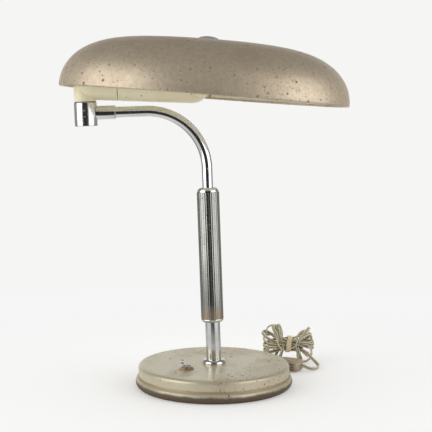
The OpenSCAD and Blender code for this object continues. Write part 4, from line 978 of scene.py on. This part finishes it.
def make_shade():
    around = 192

    def oval(inset):
        return squared_oval(SHADE_LEN / 2 - inset, SHADE_W / 2 - inset, 2 / PLAN_POWER, around)

    rings, kinds = [], []
    rows = dome_profile()
    for share, height in rows[:-1]:
        rings.append([(x * share, y * share, SHADE_H * height) for x, y in oval(0)])
        kinds.append(0)
    for turn in range(0, -226, -25):
        inset = RIM_R * (1 - math.cos(math.radians(turn)))
        rings.append([(x, y, RIM_R * math.sin(math.radians(turn))) for x, y in oval(inset)])
        kinds.append(0)
    low = RIM_R * 0.8
    for share, height in reversed(rows):
        z = (SHADE_H - SHADE_SHEET) * height
        if z > low:
            rings.append([(x * share, y * share, z) for x, y in oval(SHADE_SHEET)])
            kinds.append(1)
    points = [p for row in rings for p in row] + [(0, 0, SHADE_H), (0, 0, SHADE_H - SHADE_SHEET)]
    faces = ring_faces(len(rings), around, False)
    look = [kinds[face[2] // around] for face in faces]
    top, under, last = len(points) - 2, len(points) - 1, (len(rings) - 1) * around
    for i in range(around):
        j = (i + 1) % around
        faces.append((top, i, j))
        look.append(0)
        faces.append((under, last + j, last + i))
        look.append(1)
    mesh = new_mesh("dome", points, faces, SHADE)
    for polygon, kind in zip(mesh.polygons, look):
        polygon.material_index = kind
    dress("dome", mesh, "shade", looks=[SLOT_LOOKS["shade_lacquer"], SHADE_IN], angle=75)
    edge = [(0, 0.2), (CAP_R - 0.9, 0.1), (CAP_R, 0.4), (CAP_R - 0.1, CAP_EDGE)]
    for angle in (12, 26, 42, 58, 74):
        a = math.radians(angle)
        edge.append((CAP_R * math.cos(a) * 0.985, CAP_EDGE + (CAP_H - CAP_EDGE) * math.sin(a)))
    edge.append((0, CAP_H))
    profile = [(0, -11), (3.7, -11), (3.9, -10.8), (3.9, 0.1)] + edge[1:]
    spun("crown_cap", profile, SHADE @ shifted(0, 0, SHADE_H), "shade_cap", looks=[CAP_CHROME], around=56,
         closed=False, angle=40)


def make_bulb():
    start, end = BULB_FROM, BULB_FROM + BULB_BODY
    glass = [(0, start), (6.9, start), (7.4, start + 2), (9.2, start + 5), (10.6, start + 8),
             (BULB_R, start + 12)]
    glass += [(BULB_R, start + 40), (BULB_R, end)] + arc(0, end, BULB_R, 12, 84, 6) + [(0, end + BULB_R)]
    spun("bulb", glass, LAMP @ ALONG_X, "bulb_glass", around=48, closed=False, angle=60)


make_base_cover()
make_stem()
make_relief()
make_switch()
make_sleeve()
make_arm()
make_housing()
make_shade()
make_bulb()

for name, node in NODES.items():
    node.data.materials.clear()
    node.data.materials.append(SLOT_LOOKS[SLOT_OF[name]])
for name in ("drum_cap", "shade_strap", "plate_screws", "strap_screws", "shade_nut", "holder_body",
             "holder_base", "bulb_cap", "neck_washer", "base_plate", "base_felt"):
    smoothed_copy(name)


# ------------------------------------------------------------------ stage and light
FLOOR_R, FLOOR_LIFT, BACKDROP = 0.75, 0.245, 0.915
CEILING, WORLD_LOW, WORLD_HIGH = 0.17, 0.92, 0.41


def make_studio_group():
    """How bright the studio is round the lamp: dark in front, lit at the sides, grey, then pale behind."""
    tree, given, result = new_tree("studio_round", "ShaderNodeTree", {"Vector": "Vector"},
                                   {"Level": "Float", "Soft": "Float"})
    x, y, _ = put(tree, "ShaderNodeSeparateXYZ", given["Vector"])
    turn = calc(tree, "ABSOLUTE", calc(tree, "ARCTAN2", x, calc(tree, "MULTIPLY", y, -1.0)))
    side = ramp(tree, turn, 0.42, 0.60, 0.03, 0.60)
    gone = ramp(tree, turn, 1.50, 1.80, 0.0, -0.32)
    behind = ramp(tree, turn, 2.45, 2.75, 0.0, 0.60)
    feed(tree, result["Level"], calc(tree, "ADD", calc(tree, "ADD", side, gone), behind))
    feed(tree, result["Soft"], ramp(tree, turn, 0.3, 1.5, 0.34, 1.80))
    return tree


STUDIO = make_studio_group()


def make_stage():
    """A white floor that keeps the lamp's shadow and fades into the white behind it."""
    material = bpy.data.materials.new("floor_look")
    material.use_nodes = True
    tree = material.node_tree
    tree.nodes.clear()
    place = put(tree, "ShaderNodeTexCoord")["Object"]
    rays = put(tree, "ShaderNodeLightPath")
    seen, glossy = rays["Is Camera Ray"], rays["Is Glossy Ray"]
    away = put(tree, "ShaderNodeVectorMath", place, how=("operation", "LENGTH"))["Value"]
    studio = put(tree, "ShaderNodeGroup", how=("node_tree", STUDIO), Vector=place)["Level"]
    diffuse = put(tree, "ShaderNodeBsdfDiffuse", (0.82, 0.82, 0.815))[0]
    lift = put(tree, "ShaderNodeEmission", (1, 1, 1), calc(tree, "MULTIPLY", seen, FLOOR_LIFT))[0]
    near = put(tree, "ShaderNodeAddShader", diffuse, lift)[0]
    far = put(tree, "ShaderNodeEmission", (0.915, 0.918, 0.915))[0]
    mirrored = put(tree, "ShaderNodeEmission", (1, 1, 0.99), studio)[0]
    fade = calc(tree, "MULTIPLY", ramp(tree, away, 0.14, 0.60), seen)
    gone = calc(tree, "MULTIPLY", ramp(tree, away, 0.17, 0.44), glossy)
    faded = put(tree, "ShaderNodeMixShader", fade, near, far)[0]
    put(tree, "ShaderNodeOutputMaterial", put(tree, "ShaderNodeMixShader", gone, faded, mirrored)[0])
    mesh = bpy.data.meshes.new("floor")
    mesh.from_pydata([(x, y, 0) for x, y in ring(FLOOR_R, 64)], [], [tuple(range(64))])
    mesh.materials.append(material)
    new_object("floor", mesh)


def area_light(name, place, target, width, height, power):
    data = bpy.data.lights.new(name, "AREA")
    data.shape = "RECTANGLE"
    data.size, data.size_y, data.energy = width, height, power
    light = new_object(name, data)
    light.location = place
    light.rotation_euler = (Vector(target) - Vector(place)).to_track_quat("-Z", "Y").to_euler()


def make_world():
    """White behind the lamp for the eye, and for its metal the studio round it under a dim ceiling."""
    world = bpy.data.worlds.new("studio")
    bpy.context.scene.world = world
    world.use_nodes = True
    tree = world.node_tree
    tree.nodes.clear()
    aim = put(tree, "ShaderNodeTexCoord")["Generated"]
    height = put(tree, "ShaderNodeSeparateXYZ", aim)[2]
    studio = put(tree, "ShaderNodeGroup", how=("node_tree", STUDIO), Vector=aim)
    rays = put(tree, "ShaderNodeLightPath")
    room = mixed(tree, ramp(tree, height, 0.20, 0.62), studio["Level"], CEILING)
    lit = calc(tree, "MULTIPLY", ramp(tree, height, -0.1, 0.7, WORLD_LOW, WORLD_HIGH), studio["Soft"])
    level = mixed(tree, rays["Is Camera Ray"], mixed(tree, rays["Is Glossy Ray"], lit, room), BACKDROP)
    put(tree, "ShaderNodeOutputWorld", put(tree, "ShaderNodeBackground", (1, 1, 0.99), level)[0])


make_stage()
make_world()
area_light("key_left", (-1.80, -1.02, 0.72), (0, 0, 0.28), 2.1, 2.2, 23)
area_light("key_right", (1.80, -1.02, 0.72), (0, 0, 0.28), 2.0, 2.2, 17)
bpy.context.scene.view_settings.view_transform = "Standard"
